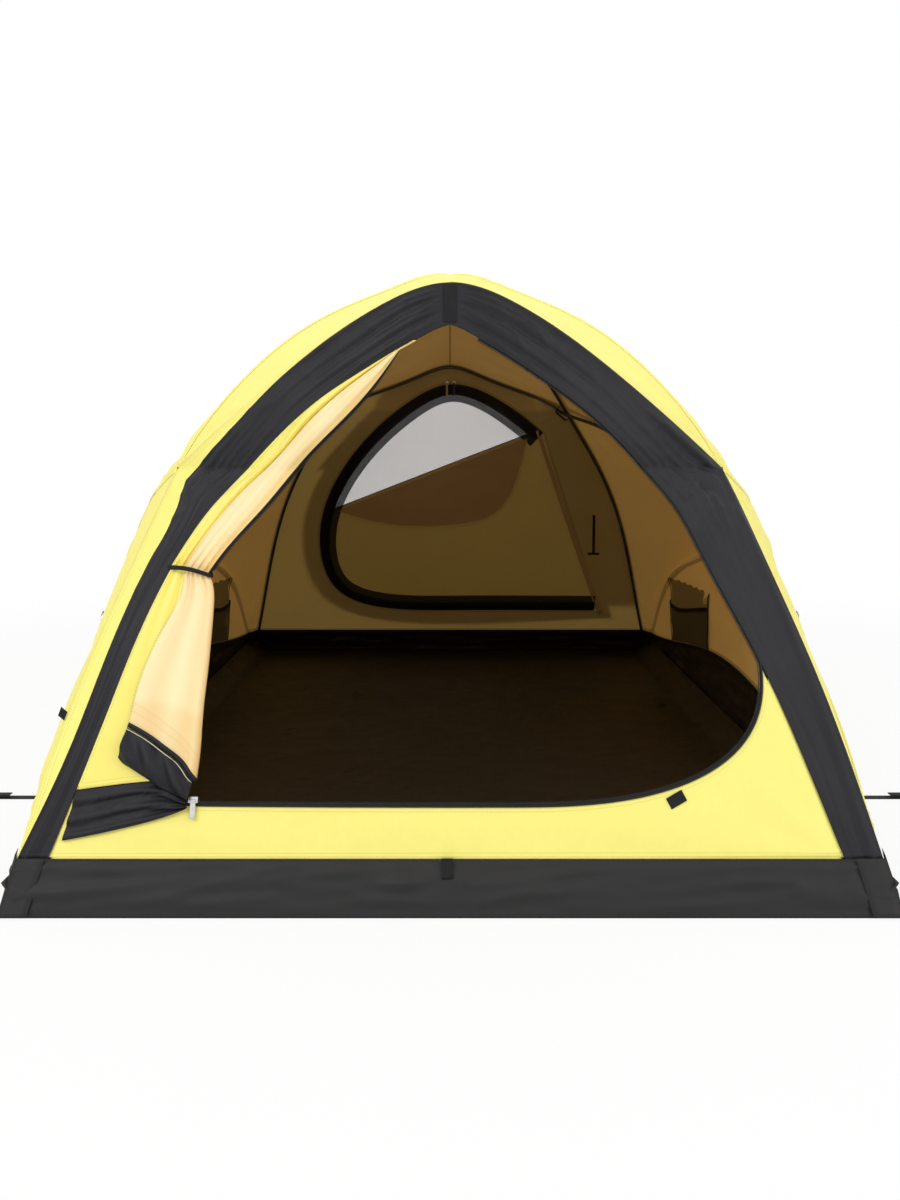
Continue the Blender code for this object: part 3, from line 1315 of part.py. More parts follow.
def build_small_trim():
    """The patch by the door's corner, the crown's strip and the tabs along hem and legs."""
    lean = math.radians(PATCH_LEAN)
    first = np.array([math.cos(lean), math.sin(lean)]) * PATCH_LENGTH / 2
    second = np.array([-math.sin(lean), math.cos(lean)]) * PATCH_WIDTH / 2
    flat_patch = np.array([[PATCH_PLACE + first * a + second * b for a in (-1, 1)] for b in (-1, 1)])
    sheet("door_hook_patch", wall_line(flat_patch, 2 * MESH_GAP + TIE_THICKNESS / 2), TIE_THICKNESS,
          "webbing", side=0)

    low, high = front_band[0, -1], front_band[-1, -1]
    across = np.array([1.0, 0.0, 0.0])
    out = unit(np.cross(across, high - low))
    path = [low + (high - low) * share + out * (2 * MESH_GAP + TIE_THICKNESS / 2)
            for share in np.linspace(0.06, 0.94, 4)]
    webbing("crown_strip", path, across, WEB_WIDTH, TIE_THICKNESS, "black cloth")

    top = np.array([HEM_TAB_PLACE, *FRONT_LEG[-1][1:]])
    down = unit(np.array([0, -HALF_L, 0]) - np.array([0, *FRONT_LEG[-1][1:]]))
    out = unit(np.cross(across, -down))
    turned, _ = hairpin(HEM_TAB_LENGTH, RING_WIRE / 2, HEM_TAB_LENGTH * 0.9)
    path = frame_path(top + out * (WEB_THICKNESS / 2 + 2 * MESH_GAP), down, out, turned)
    webbing("hem_tab", path, across, WEB_WIDTH * 0.8)

    place = FRONT_LEG[LEG_TAB_STEP] * MIRROR
    along = unit(FRONT_LEG[LEG_TAB_STEP + 1] * MIRROR - place)
    out = seam_out(place)
    level = unit(np.cross(out, along))
    out = unit(out - np.array([0, out[1], 0]))
    path = [place + out * (LEG_TAB_LIFT + LEG_TAB_LENGTH * share) for share in np.linspace(0, 1, 3)]
    webbing("leg_tab_left", path, along, WEB_WIDTH * 0.7)


def main():
    clear_scene()
    register_panels()
    build_panels()
    build_tub()
    lines = build_poles()
    build_cups(lines)
    cloth = Cloth()
    build_ties(cloth)
    build_stake_straps()
    build_guy_points()
    build_pockets(cloth)
    build_door_roll()
    build_door_tail()
    build_door_tie()
    build_front_zip()
    build_rear_door()
    build_small_trim()


main()
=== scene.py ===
"""Looks for a two-person dome tent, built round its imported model.

It is laid out as an add-on and run as a script: the panel in the sidebar lists the pieces,
and each operator builds one group of them from the sizes and colours in the scene's settings.
Metres, +Z up; the front door faces -Y.
"""
import math
from functools import partialmethod

import bmesh
import bpy
import numpy as np
from bpy.props import FloatProperty, FloatVectorProperty, PointerProperty
from bpy.types import Operator, Panel, PropertyGroup
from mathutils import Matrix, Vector
from mathutils.bvhtree import BVHTree


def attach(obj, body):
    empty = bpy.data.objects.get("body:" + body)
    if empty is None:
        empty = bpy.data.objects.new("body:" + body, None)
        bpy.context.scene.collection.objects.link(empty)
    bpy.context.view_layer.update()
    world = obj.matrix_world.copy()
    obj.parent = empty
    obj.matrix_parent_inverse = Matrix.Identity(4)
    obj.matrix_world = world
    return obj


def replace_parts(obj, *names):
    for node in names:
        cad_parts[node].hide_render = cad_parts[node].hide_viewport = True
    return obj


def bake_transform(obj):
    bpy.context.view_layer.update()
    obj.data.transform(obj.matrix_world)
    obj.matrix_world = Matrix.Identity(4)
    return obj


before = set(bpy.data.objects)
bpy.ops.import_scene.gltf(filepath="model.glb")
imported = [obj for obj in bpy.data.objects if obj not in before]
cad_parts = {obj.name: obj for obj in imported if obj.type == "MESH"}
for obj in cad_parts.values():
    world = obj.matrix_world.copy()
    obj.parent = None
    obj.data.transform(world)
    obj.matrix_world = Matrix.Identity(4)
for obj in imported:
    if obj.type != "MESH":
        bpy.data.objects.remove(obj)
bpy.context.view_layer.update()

bl_info = {"name": "Dome tent", "version": (1, 0, 0), "blender": (4, 5, 0),
    "location": "3D View > Sidebar > Tent",
    "description": "Cloth, zips, poles, trim and a plain studio for a dome tent",
    "category": "Add Mesh",}

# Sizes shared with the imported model
HALF_W = 0.650
HALF_L = 1.180
PEAK_HEIGHT = 1.055
TUB_END_HEIGHT = 0.076
TUB_SIDE_RISE = 0.088
TUB_BULGE = 0.012
CLOTH = 0.0014
POLE_DIAMETER = 0.009
POLE_TO_CLOTH = 0.0014
POLE_SECTIONS = 9
POLE_DIP_REACH = 0.150
BAND_WIDTHS = (0.055, 0.070, 0.105, 0.067)
SILL_HEIGHT = 0.150
SILL_LEFT_RISE = 0.019
DOOR_CORNER_WIDTH = 0.370
DOOR_CORNER_POWER = 2.5
SILL_TO_BAND = 0.0015
MIRROR = np.array([-1.0, 1.0, 1.0])
UP = np.array([0.0, 0.0, 1.0])
SIDES = ((np.ones(3), "right"), (MIRROR, "left"))

TURN = 2 * math.pi

# How near points are joined in one, and from which angle an edge is sharp
MERGE = 0.00002
SHARP = math.radians(50)

# The bent poles' shape, as shares of half the floor and of the peak height
DIAGONAL_RISE = ((-1.0, 0.0), (-0.887, 0.262), (-0.776, 0.466), (-0.694, 0.603), (-0.588, 0.724),
    (-0.445, 0.832), (-0.2, 0.943), (0.0, 1.0), (0.25, 0.907), (0.496, 0.733), (0.728, 0.487),
    (0.87, 0.262), (1.0, 0.0))
FRONT_CROSSING = -0.694
REAR_CROSSING = 0.496
REAR_LEG_BOW = 0.030
SIDE_CROSSING = (1.046, -0.150, 0.452)
FRONT_ARCH_TOP = ((0.378, -0.778, 0.756), (0.168, -0.800, 0.840), (0.0, -0.804, 0.873))
FRONT_ARCH_SIDE = (0.888, -0.424, 0.530)
FRONT_ARCH_LEG = (0.995, 0.610, 0.275)
REAR_ARCH_TOP = ((0.350, 0.600, 0.778), (0.150, 0.650, 0.828), (0.0, 0.662, 0.857))
REAR_ARCH_LEG = ((0.985, -0.745, 0.213), (0.994, -0.407, 0.370))
ARCH_FOOT_SPREAD = 0.045
ROOF_TAUTNESS = 3.0
SIDE_TAUTNESS = 1.8
COARSE = 7
FINE = 56
OUTLINE = 60


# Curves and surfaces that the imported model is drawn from

def natural_spline(knots, values):
    """A smooth curve through values at the rising knots, as a function."""
    knots = np.asarray(knots, float)
    values = np.asarray(values, float)
    if values.ndim == 1:
        values = values[:, None]
    steps = np.diff(knots)
    count = len(knots)
    system = np.eye(count)
    right = np.zeros_like(values)
    for i in range(1, count - 1):
        system[i, i - 1:i + 2] = steps[i - 1], 2 * (steps[i - 1] + steps[i]), steps[i]
        right[i] = 6 * ((values[i + 1] - values[i]) / steps[i]
            - (values[i] - values[i - 1]) / steps[i - 1])
    bend = np.linalg.solve(system, right)

    def curve(at):
        at = np.atleast_1d(np.asarray(at, float))
        cell = np.clip(np.searchsorted(knots, at) - 1, 0, count - 2)
        step = steps[cell][:, None]
        after = (at - knots[cell])[:, None]
        before = step - after
        return (bend[cell] * before ** 3 / (6 * step) + bend[cell + 1] * after ** 3 / (6 * step)
            + (values[cell] / step - bend[cell] * step / 6) * before
            + (values[cell + 1] / step - bend[cell + 1] * step / 6) * after)
    return curve


def even(count):
    """Even shares from 0 to 1."""
    return np.linspace(0, 1, count)


def run_along(line):
    """Distance along a broken line to each of its points."""
    return np.concatenate([[0], np.cumsum(np.linalg.norm(np.diff(line, axis=0), axis=1))])


def along_line(line, run, at):
    """The points of a broken line at some distances along it."""
    return np.column_stack([np.interp(at, run, column) for column in line.T])


def through(points):
    """A smooth curve through points, and the parameter of each."""
    points = np.asarray(points, float)
    knots = run_along(points)
    return natural_spline(knots, points), knots


def resample(line, count):
    """Points at even distances along a broken line."""
    line = np.asarray(line, float)
    run = run_along(line)
    at = np.linspace(0, run[-1], count + 1)
    return along_line(line, run, at)


def smoothed(line, count):
    """A smooth curve through a line's points, divided evenly by their order."""
    curve = natural_spline(np.arange(len(line)), line)
    return curve(np.linspace(0, len(line) - 1, count + 1))


def shares(*triple):
    return np.array(triple) * (HALF_W, HALF_L, PEAK_HEIGHT)


rise = natural_spline(*zip(*DIAGONAL_RISE))


def diagonal(reach):
    """The right-hand seam over a diagonal pole: -1 front corner, 0 peak, 1 rear corner."""
    reach = np.atleast_1d(reach)
    past = np.clip((reach - REAR_CROSSING) / (1 - REAR_CROSSING), 0, 1)
    bow = REAR_LEG_BOW * np.sin(math.pi * past) ** 2
    return np.column_stack([HALF_W * (abs(reach) + bow), HALF_L * reach,
        PEAK_HEIGHT * rise(reach)[:, 0]])


PEAK = diagonal(0)[0]
FRONT_TIE = diagonal(FRONT_CROSSING)[0]
REAR_TIE = diagonal(REAR_CROSSING)[0]
SIDE_TIE = shares(*SIDE_CROSSING)

front_arch_half = [np.array([HALF_W, HALF_L - ARCH_FOOT_SPREAD, 0]), shares(*FRONT_ARCH_LEG),
    SIDE_TIE, shares(*FRONT_ARCH_SIDE), FRONT_TIE] + [shares(*point) for point in FRONT_ARCH_TOP]
rear_arch_half = [np.array([HALF_W, ARCH_FOOT_SPREAD - HALF_L, 0])] + [shares(*point) for point
    in REAR_ARCH_LEG] + [SIDE_TIE, REAR_TIE] + [shares(*point) for point in REAR_ARCH_TOP]
front_arch, FRONT_KNOTS = through(front_arch_half + [p * MIRROR for p in front_arch_half[-2::-1]])
rear_arch, REAR_KNOTS = through(rear_arch_half + [p * MIRROR for p in rear_arch_half[-2::-1]])


def tub_top(y):
    """Height of the tub's upper edge along a side."""
    along = np.clip((np.asarray(y) / HALF_L + 1) / 2, 0, 1)
    return TUB_END_HEIGHT + TUB_SIDE_RISE * np.sin(math.pi * along) ** 2


def where_it_leaves_tub(curve, start, end):
    """The parameter at which a seam rises over the tub's edge, between start and end."""
    for _ in range(50):
        middle = (start + end) / 2
        x, y, z = curve(middle)[0]
        if z < tub_top(y):
            start = middle
        else:
            end = middle
    return end


def seam(curve, start, end, count=FINE):
    return curve(np.linspace(start, end, count + 1))


FRONT_FOOT = where_it_leaves_tub(diagonal, -1.0, -0.9)
REAR_FOOT = where_it_leaves_tub(diagonal, 1.0, 0.9)
FRONT_ARCH_FOOT = where_it_leaves_tub(front_arch, 0.0, FRONT_KNOTS[1])
REAR_ARCH_FOOT = where_it_leaves_tub(rear_arch, 0.0, REAR_KNOTS[1])

# Right-hand seams, each from its upper or middle end outwards
PEAK_FRONT = seam(diagonal, 0, FRONT_CROSSING)
FRONT_LEG = seam(diagonal, FRONT_CROSSING, FRONT_FOOT)
PEAK_REAR = seam(diagonal, 0, REAR_CROSSING)
REAR_LEG = seam(diagonal, REAR_CROSSING, REAR_FOOT)
BROW = seam(front_arch, FRONT_KNOTS[7], FRONT_KNOTS[4])
FRONT_SIDE = seam(front_arch, FRONT_KNOTS[4], FRONT_KNOTS[2])
SIDE_REAR = seam(front_arch, FRONT_KNOTS[2], FRONT_ARCH_FOOT)
REAR_BROW = seam(rear_arch, REAR_KNOTS[7], REAR_KNOTS[4])
REAR_SIDE = seam(rear_arch, REAR_KNOTS[4], REAR_KNOTS[3])
SIDE_FRONT = seam(rear_arch, REAR_KNOTS[3], REAR_ARCH_FOOT)


def tub_edge(start, end, count, bulge):
    """The tub's upper edge between two seams on one side."""
    share = even(count + 1)[:, None]
    line = start * (1 - share) + end * share
    line[:, 0] += bulge * np.sin(math.pi * share[:, 0])
    line[1:-1, 2] = tub_top(line[1:-1, 1])
    return line


EDGE_FRONT = tub_edge(FRONT_LEG[-1], SIDE_FRONT[-1], FINE, 0)
EDGE_SIDE = tub_edge(SIDE_FRONT[-1], SIDE_REAR[-1], FINE, TUB_BULGE)
EDGE_REAR = tub_edge(SIDE_REAR[-1], REAR_LEG[-1], FINE, 0)


def coons(bottom, top, left, right, taut=1.0):
    """A sheet between four edges; the side edges' own bend fades across it."""
    rows, columns = len(left), len(bottom)
    t = even(rows)[:, None, None]
    s = even(columns)[None, :, None]
    bottom, top = np.asarray(bottom)[None], np.asarray(top)[None]
    left, right = np.asarray(left)[:, None], np.asarray(right)[:, None]
    left_bend = left - (1 - t) * bottom[:, :1] - t * top[:, :1]
    right_bend = right - (1 - t) * bottom[:, -1:] - t * top[:, -1:]
    return (1 - t) * bottom + t * top + (1 - s) ** taut * left_bend + s ** taut * right_bend


class Wall:
    """A door wall as a height field: a straight slope in its middle, its edges on the seams."""

    def __init__(self, edge, middle_foot, middle_top):
        self.edge = edge[np.argsort(edge[:, 2])]
        self.foot = middle_foot
        self.top = middle_top

    def depth(self, x, z):
        half = np.interp(z, self.edge[:, 2], self.edge[:, 0])
        side = np.interp(z, self.edge[:, 2], self.edge[:, 1])
        share = np.clip((z - self.foot[1]) / (self.top[1] - self.foot[1]), 0, 1)
        middle = self.foot[0] + share * (self.top[0] - self.foot[0])
        blend = np.minimum(abs(x) / np.maximum(half, 0.01), 1) ** 2
        return middle + (side - middle) * blend

    def lift(self, flat_points, out=0.0):
        """Points of the wall above flat (x, z) points, moved by out along +Y."""
        flat_points = np.asarray(flat_points, float)
        x, z = flat_points[..., 0], flat_points[..., 1]
        return np.stack([x, self.depth(x, z) + out, z], axis=-1)


BAND_OUTER = np.vstack([FRONT_LEG[::-1], BROW[::-1][1:]])
REAR_RIM = np.vstack([REAR_LEG[::-1], REAR_BROW[::-1][1:]])
FRONT_WALL = Wall(BAND_OUTER, FRONT_LEG[-1][1:], BROW[0][1:])
REAR_WALL = Wall(REAR_RIM, REAR_LEG[-1][1:], REAR_BROW[0][1:])


def flat(points):
    return np.asarray(points)[..., [0, 2]]


# How much wider than even each sewn band is, by height, and how far the left one stops short
RIGHT_TRIM = ((0.07, 0.003), (0.36, 0.007), (0.52, 0.008), (0.64, -0.008), (0.72, -0.012),
    (0.79, 0.0), (0.86, 0.004))
LEFT_TRIM = ((0.07, -0.008), (0.32, -0.011), (0.47, -0.020), (0.60, -0.018), (0.68, -0.024),
    (0.75, -0.020), (0.80, -0.004), (0.86, 0.0))
LEFT_SHORT = ((0.07, 0.0), (0.15, 0.014), (0.28, 0.026), (0.50, 0.029), (0.61, 0.036),
    (0.66, 0.024), (0.71, 0.015), (0.78, 0.004), (0.87, 0.0))
BAND_SOFTNESS = 9


def eased(line, reach):
    """A line with its corners rounded off and its ends kept."""
    soft = line.copy()
    for i in range(len(line)):
        near = min(reach, i, len(line) - 1 - i)
        soft[i] = line[i - near:i + near + 1].mean(axis=0)
    return soft


def band_inner_edge(trim):
    """The door side of a band: its outer seam moved square to itself by the band's width."""
    outer = np.vstack([FRONT_LEG[::-1][::FINE // COARSE], BROW[::-1][::FINE // COARSE][1:]])
    line = flat(outer)
    tangent = np.gradient(line, axis=0)
    tangent /= np.linalg.norm(tangent, axis=1)[:, None]
    knots = [FRONT_LEG[-1][2], FRONT_TIE[2] * 0.6, FRONT_TIE[2], BROW[0][2]]
    width = np.interp(line[:, 1], knots, BAND_WIDTHS)[:, None]
    inner = line + np.column_stack([-tangent[:, 1], tangent[:, 0]]) * width
    inner[0, 1] = line[0, 1]
    inner[-1, 0] = 0
    soft = eased(eased(smoothed(inner, 2 * FINE), BAND_SOFTNESS), BAND_SOFTNESS)
    extra = natural_spline(*zip(*trim))(soft[:, 1])[:, 0]
    soft[:, 0] -= extra * np.clip(soft[:, 0] / 0.05, 0, 1)
    return soft


BAND_INNER = band_inner_edge(RIGHT_TRIM)
LEFT_INNER = band_inner_edge(LEFT_TRIM)
FOOT_Z = BAND_INNER[0, 1]


def band_between(low, high, count, tuck=0.0, inner=BAND_INNER):
    """A band's inner edge between two heights, as (x, z) points with x away from the door."""
    z = np.linspace(low, high, count + 1)
    return np.column_stack([np.interp(z, inner[:, 1], inner[:, 0]) + tuck, z])


def left_edge(z):
    """The left band's inner edge at a height, as x."""
    return -np.interp(z, LEFT_INNER[:, 1], LEFT_INNER[:, 0])


def door_sill(count):
    """The door's lower edge from the left band to the right band, as (x, z) points."""
    top = SILL_HEIGHT + DOOR_CORNER_WIDTH * 0.52
    right_x = np.interp(top, BAND_INNER[:, 1], BAND_INNER[:, 0]) - SILL_TO_BAND
    left_z = SILL_HEIGHT + SILL_LEFT_RISE
    left_x = SILL_TO_BAND + left_edge(left_z)
    turn = right_x - DOOR_CORNER_WIDTH
    angle = np.linspace(0, math.pi / 2, OUTLINE)
    power = 2 / DOOR_CORNER_POWER
    corner = np.column_stack([turn + DOOR_CORNER_WIDTH * np.sin(angle) ** power,
        top - (top - SILL_HEIGHT) * np.cos(angle) ** power])
    straight = np.column_stack([np.linspace(left_x, turn, OUTLINE), np.full(OUTLINE, SILL_HEIGHT)])
    lift = np.clip((straight[0, 0] + 0.2 - straight[:, 0]) / 0.2, 0, 1) ** 2
    straight[:, 1] += SILL_LEFT_RISE * lift
    return resample(np.vstack([straight, corner[1:]]), count)


SILL_COUNT = 110
SILL = door_sill(SILL_COUNT)

# Rear door
REAR_DOOR_SILL = 0.146
REAR_DOOR_TOP = 0.850
REAR_DOOR_LEFT = 0.403
HINGE_TOP = (0.270, REAR_DOOR_TOP - 0.141)
HINGE_FOOT = (0.481, REAR_DOOR_SILL)
REAR_DOOR_MIDDLE = np.array([0.030, (REAR_DOOR_TOP + REAR_DOOR_SILL) / 2 - 0.060])
REAR_ZIP_BAND = 0.024
WINDOW_FOLD_LEFT = 0.468
WINDOW_FOLD_RIGHT = 0.718


def rear_door_outline():
    """The rear door's edge, from the hinge's foot up and round, as (x, z)."""
    side, top, low = REAR_DOOR_LEFT, REAR_DOOR_TOP, REAR_DOOR_SILL
    points = np.array([HINGE_TOP, (0.155, top - 0.054), (0.0, top), (-0.135, top - 0.062),
        (-side * 0.757, top - 0.228), (-side, low + 0.246), (-side * 0.9, low + 0.075),
        (-side * 0.42, low + 0.004), (0.0, low), HINGE_FOOT])
    curve, knots = through(points)
    round_side = curve(np.linspace(0, knots[-1], OUTLINE * 4))
    hinge = np.linspace(round_side[-1], round_side[0], OUTLINE)[1:-1]
    return np.vstack([hinge, round_side])


def around(line, middle, like):
    """The points of a loop that lie in the same directions from a middle as other points."""
    angle = np.arctan2(*(line - middle).T[::-1])
    order = np.argsort(angle)
    angle, ring = angle[order], line[order]
    angle = np.concatenate([angle[-1:] - TURN, angle, angle[:1] + TURN])
    ring = np.vstack([ring[-1:], ring, ring[:1]])
    wanted = np.arctan2(*(like - middle).T[::-1])
    return along_line(ring, angle, wanted)


REAR_BASE_COUNT = 96
rear_base = REAR_WALL.lift(np.column_stack([np.linspace(-REAR_RIM[0, 0], REAR_RIM[0, 0],
    REAR_BASE_COUNT + 1), np.full(REAR_BASE_COUNT + 1, REAR_RIM[0, 2])]))
REAR_OUTER = np.vstack([REAR_RIM, REAR_RIM[::-1][1:] * MIRROR, rear_base[1:]])
REAR_DOOR = around(rear_door_outline(), REAR_DOOR_MIDDLE, flat(REAR_OUTER))


def unit(vector):
    vector = np.asarray(vector, float)
    return vector / np.maximum(np.linalg.norm(vector, axis=-1, keepdims=True), 1e-12)


def grid_normals(grid):
    """Unit normals of a grid of points, from its two directions."""
    across = np.gradient(grid, axis=1)
    along = np.gradient(grid, axis=0)
    normal = np.cross(across, along)
    size = np.linalg.norm(normal, axis=-1, keepdims=True)
    for i, j in np.argwhere(size[..., 0] < 1e-12):
        normal[i, j] = normal[min(i + 1, len(grid) - 2), j]
    return unit(normal)


# The sewn panels' outer faces, and the directions that meet at their seams
panels = {}
seam_normals = {}


def key(point):
    """A name for a place, to a tenth of a millimetre, away from round numbers."""
    return tuple(np.round(np.asarray(point) * 1e4 + 0.317).astype(int))


def border(grid):
    rows, columns = grid.shape[:2]
    cells = [(0, j) for j in range(columns)] + [(rows - 1, j) for j in range(columns)]
    return cells + [(i, j) for i in range(rows) for j in (0, columns - 1)]


def add_panel(name, grid, outward):
    """Keep a panel's outer face; outward is a rough direction away from the cabin."""
    grid = np.asarray(grid, float)
    normal = grid_normals(grid)
    if np.sum(normal.mean(axis=(0, 1)) * outward) < 0:
        grid = grid[:, ::-1]
        normal = -normal[:, ::-1]
    panels[name] = (grid, normal)
    for i, j in set(border(grid)):
        seam_normals.setdefault(key(grid[i, j]), []).append(normal[i, j])


def side_pair(name, grid, outward):
    add_panel(name + "_right", grid, outward)
    add_panel(name + "_left", grid * MIRROR, np.array(outward) * MIRROR)


BAND_ROWS = 31
STRIP_ROWS = 8


def register_panels():
    for name, leg, brow in (("roof_front", PEAK_FRONT, BROW), ("roof_rear", PEAK_REAR, REAR_BROW)):
        low = np.vstack([(brow * MIRROR)[::-1], brow[1:]])
        add_panel(name, coons(np.repeat(PEAK[None], len(low), axis=0), low, leg * MIRROR, leg,
            ROOF_TAUTNESS), (0, 0, 1))
    edges = {"side_roof": (PEAK_FRONT, REAR_SIDE, PEAK_REAR, FRONT_SIDE),
        "side_front": (FRONT_SIDE, EDGE_FRONT, FRONT_LEG, SIDE_FRONT),
        "side_rear": (REAR_SIDE, EDGE_REAR[::-1], REAR_LEG, SIDE_REAR),
        "side_lower": (np.repeat(SIDE_TIE[None], FINE + 1, axis=0), EDGE_SIDE, SIDE_FRONT,
        SIDE_REAR)}
    for name, four in edges.items():
        side_pair(name, coons(*four, SIDE_TAUTNESS), (1, 0, 0.3))
    outer = flat(BAND_OUTER)
    short = natural_spline(*zip(*LEFT_SHORT))(outer[:, 1])[:, 0]
    for side, label, inner, yellow in ((1, "right", BAND_INNER, 0), (-1, "left", LEFT_INNER, 1)):
        width = np.linalg.norm(outer - inner, axis=1)
        stop = 1 - yellow * np.maximum(short, 0.0005) / width
        rows = [inner + (outer - inner) * (stop * share)[:, None] for share in even(BAND_ROWS)]
        rows += [inner + (outer - inner) * (stop + (1 - stop) * share)[:, None] for share
            in even(STRIP_ROWS + 1)[1:]][:STRIP_ROWS * yellow]
        band = FRONT_WALL.lift(np.array(rows))
        band[-1] = BAND_OUTER
        add_panel("front_band_" + label, band * (side, 1, 1), (0, -1, 0))
    ring = np.stack([REAR_DOOR + (flat(REAR_OUTER) - REAR_DOOR) * share for share in even(20)])
    ring = REAR_WALL.lift(ring)
    ring[-1] = REAR_OUTER
    add_panel("rear_wall", ring, (0, 1, 0))


register_panels()


def seam_out(point):
    return unit(np.sum(seam_normals[key(point)], axis=0))


def behind(point, distance):
    """A point behind a seam, clear of both panels by a distance."""
    shared = seam_normals[key(point)]
    middle = unit(np.sum(shared, axis=0))
    lean = max(min(float(middle @ other) for other in shared), 0.5)
    return point - middle * (CLOTH + distance) / lean


# Unevenness of real cloth

def waves(points, size, seed, count=7):
    """Smooth unevenness about a size across, from seeded sine waves: about -1 to 1."""
    rng = np.random.default_rng(seed)
    total = np.zeros(points.shape[:-1])
    for _ in range(count):
        direction = unit(rng.normal(size=3))
        pace = TURN / (size * rng.uniform(0.6, 1.6))
        total += np.sin(points @ direction * pace + rng.uniform(0, TURN))
    return total / math.sqrt(count)


def ease(value):
    """0 below 0, 1 above 1, and a smooth rise between."""
    value = np.clip(value, 0, 1)
    return value * value * (3 - 2 * value)


def radiating(points, facing, anchor, folds, reach, seed):
    """Folds that spread from a pulled corner and die away."""
    first = unit(np.cross(facing, [0.31, 0.87, 0.38]))
    second = np.cross(facing, first)
    away = points - anchor
    angle = np.arctan2(away @ second, away @ first)
    far = np.linalg.norm(away, axis=-1)
    wander = waves(points, 0.35, seed) * 0.9
    return np.cos(angle * folds + wander + seed) * ease(far / 0.06) * np.exp(-far / reach)


def edge_fields(grid, wrap=False):
    """Each point's distance from the sheet's edge, and the distance along the nearest edge."""
    lines = [grid[0], grid[-1]] + ([] if wrap else [grid[:, 0], grid[:, -1]])
    edge = np.full(grid.shape[:2], 9.0)
    along = np.zeros(grid.shape[:2])
    cells = grid.reshape(-1, 3)
    for line in lines:
        run = run_along(line)
        for part in np.array_split(np.arange(len(cells)), 12):
            gap = np.linalg.norm(cells[part][:, None] - line[None], axis=-1)
            nearest = gap.argmin(axis=1)
            least = gap[np.arange(len(part)), nearest]
            i, j = np.unravel_index(part, grid.shape[:2])
            closer = least < edge[i, j]
            edge[i[closer], j[closer]] = least[closer]
            along[i[closer], j[closer]] = run[nearest[closer]]
    return edge, along


# Pieces

def added(name, data):
    """A new object in the scene."""
    obj = bpy.data.objects.new(name, data)
    bpy.context.scene.collection.objects.link(obj)
    return obj


def reworked(mesh, change):
    """Make one change to a mesh through bmesh."""
    work = bmesh.new()
    work.from_mesh(mesh)
    change(work)
    work.to_mesh(mesh)
    work.free()


def mesh_piece(name, points, faces, looks, fields=None, regions=None, uvs=None):
    """A new object from points and faces, with numbers kept at its points for its looks."""
    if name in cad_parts:
        name += "_piece"
    mesh = bpy.data.meshes.new(name)
    mesh.from_pydata(np.asarray(points, float).tolist(), [], [list(map(int, f)) for f in faces])
    for label, values in (fields or {}).items():
        kept = mesh.attributes.new(label, "FLOAT", "POINT")
        kept.data.foreach_set("value", np.asarray(values, np.float32).ravel())
    if uvs is not None:
        layer = mesh.uv_layers.new(name="cloth")
        corner = np.zeros(len(mesh.loops), np.int32)
        mesh.loops.foreach_get("vertex_index", corner)
        layer.data.foreach_set("uv", np.asarray(uvs, np.float32)[corner].ravel())
    if regions is not None:
        mesh.polygons.foreach_set("material_index", np.asarray(regions, np.int32))
    for look in looks:
        mesh.materials.append(look)
    reworked(mesh, lambda work: bmesh.ops.remove_doubles(work, verts=work.verts, dist=MERGE))
    mesh.shade_smooth()
    return added(name, mesh)


def placed(obj, body, nodes):
    """Give a piece the nodes that it stands for and the body that it rides on."""
    if nodes:
        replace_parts(obj, *nodes)
    if body:
        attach(obj, body)
    return obj


def run_over(grid, axis):
    """Distance over a grid to each point, from its first row or its first column."""
    steps = np.linalg.norm(np.diff(grid, axis=axis), axis=-1)
    return np.insert(np.cumsum(steps, axis=axis), 0, 0, axis=axis)


def closed_round(grid):
    """A ring's grid with its first column again at its end."""
    return np.hstack([grid, grid[:, :1]])


def grid_faces(rows, columns, wrap=False):
    last = columns if wrap else columns - 1
    return [[i * columns + j, i * columns + (j + 1) % columns,
        (i + 1) * columns + (j + 1) % columns, (i + 1) * columns + j] for i in range(rows - 1)
        for j in range(last)]


def cut_size(grid):
    """Width, length and area of the cloth that a sheet is cut from, laid flat."""
    across = np.linalg.norm(np.diff(grid, axis=1), axis=-1).sum(axis=1).max()
    along = np.linalg.norm(np.diff(grid, axis=0), axis=-1).sum(axis=0).max()
    one = np.cross(grid[1:, :-1] - grid[:-1, :-1], grid[:-1, 1:] - grid[:-1, :-1]) / 2
    two = np.cross(grid[1:, 1:] - grid[1:, :-1], grid[1:, 1:] - grid[:-1, 1:]) / 2
    area = np.linalg.norm(one, axis=-1).sum() + np.linalg.norm(two, axis=-1).sum()
    points = grid.reshape(-1, 3) - grid.reshape(-1, 3).mean(axis=0)
    axes = np.linalg.svd(points, full_matrices=False)[2]
    seen = abs(one @ axes[2]).sum() + abs(two @ axes[2]).sum()
    length, width = np.ptp(points @ axes.T, axis=0)[:2] * math.sqrt(area / seen)
    if across * along < width * length or width * length < area:
        width, length = across, along
    return float(width), float(length), float(min(area, width * length))


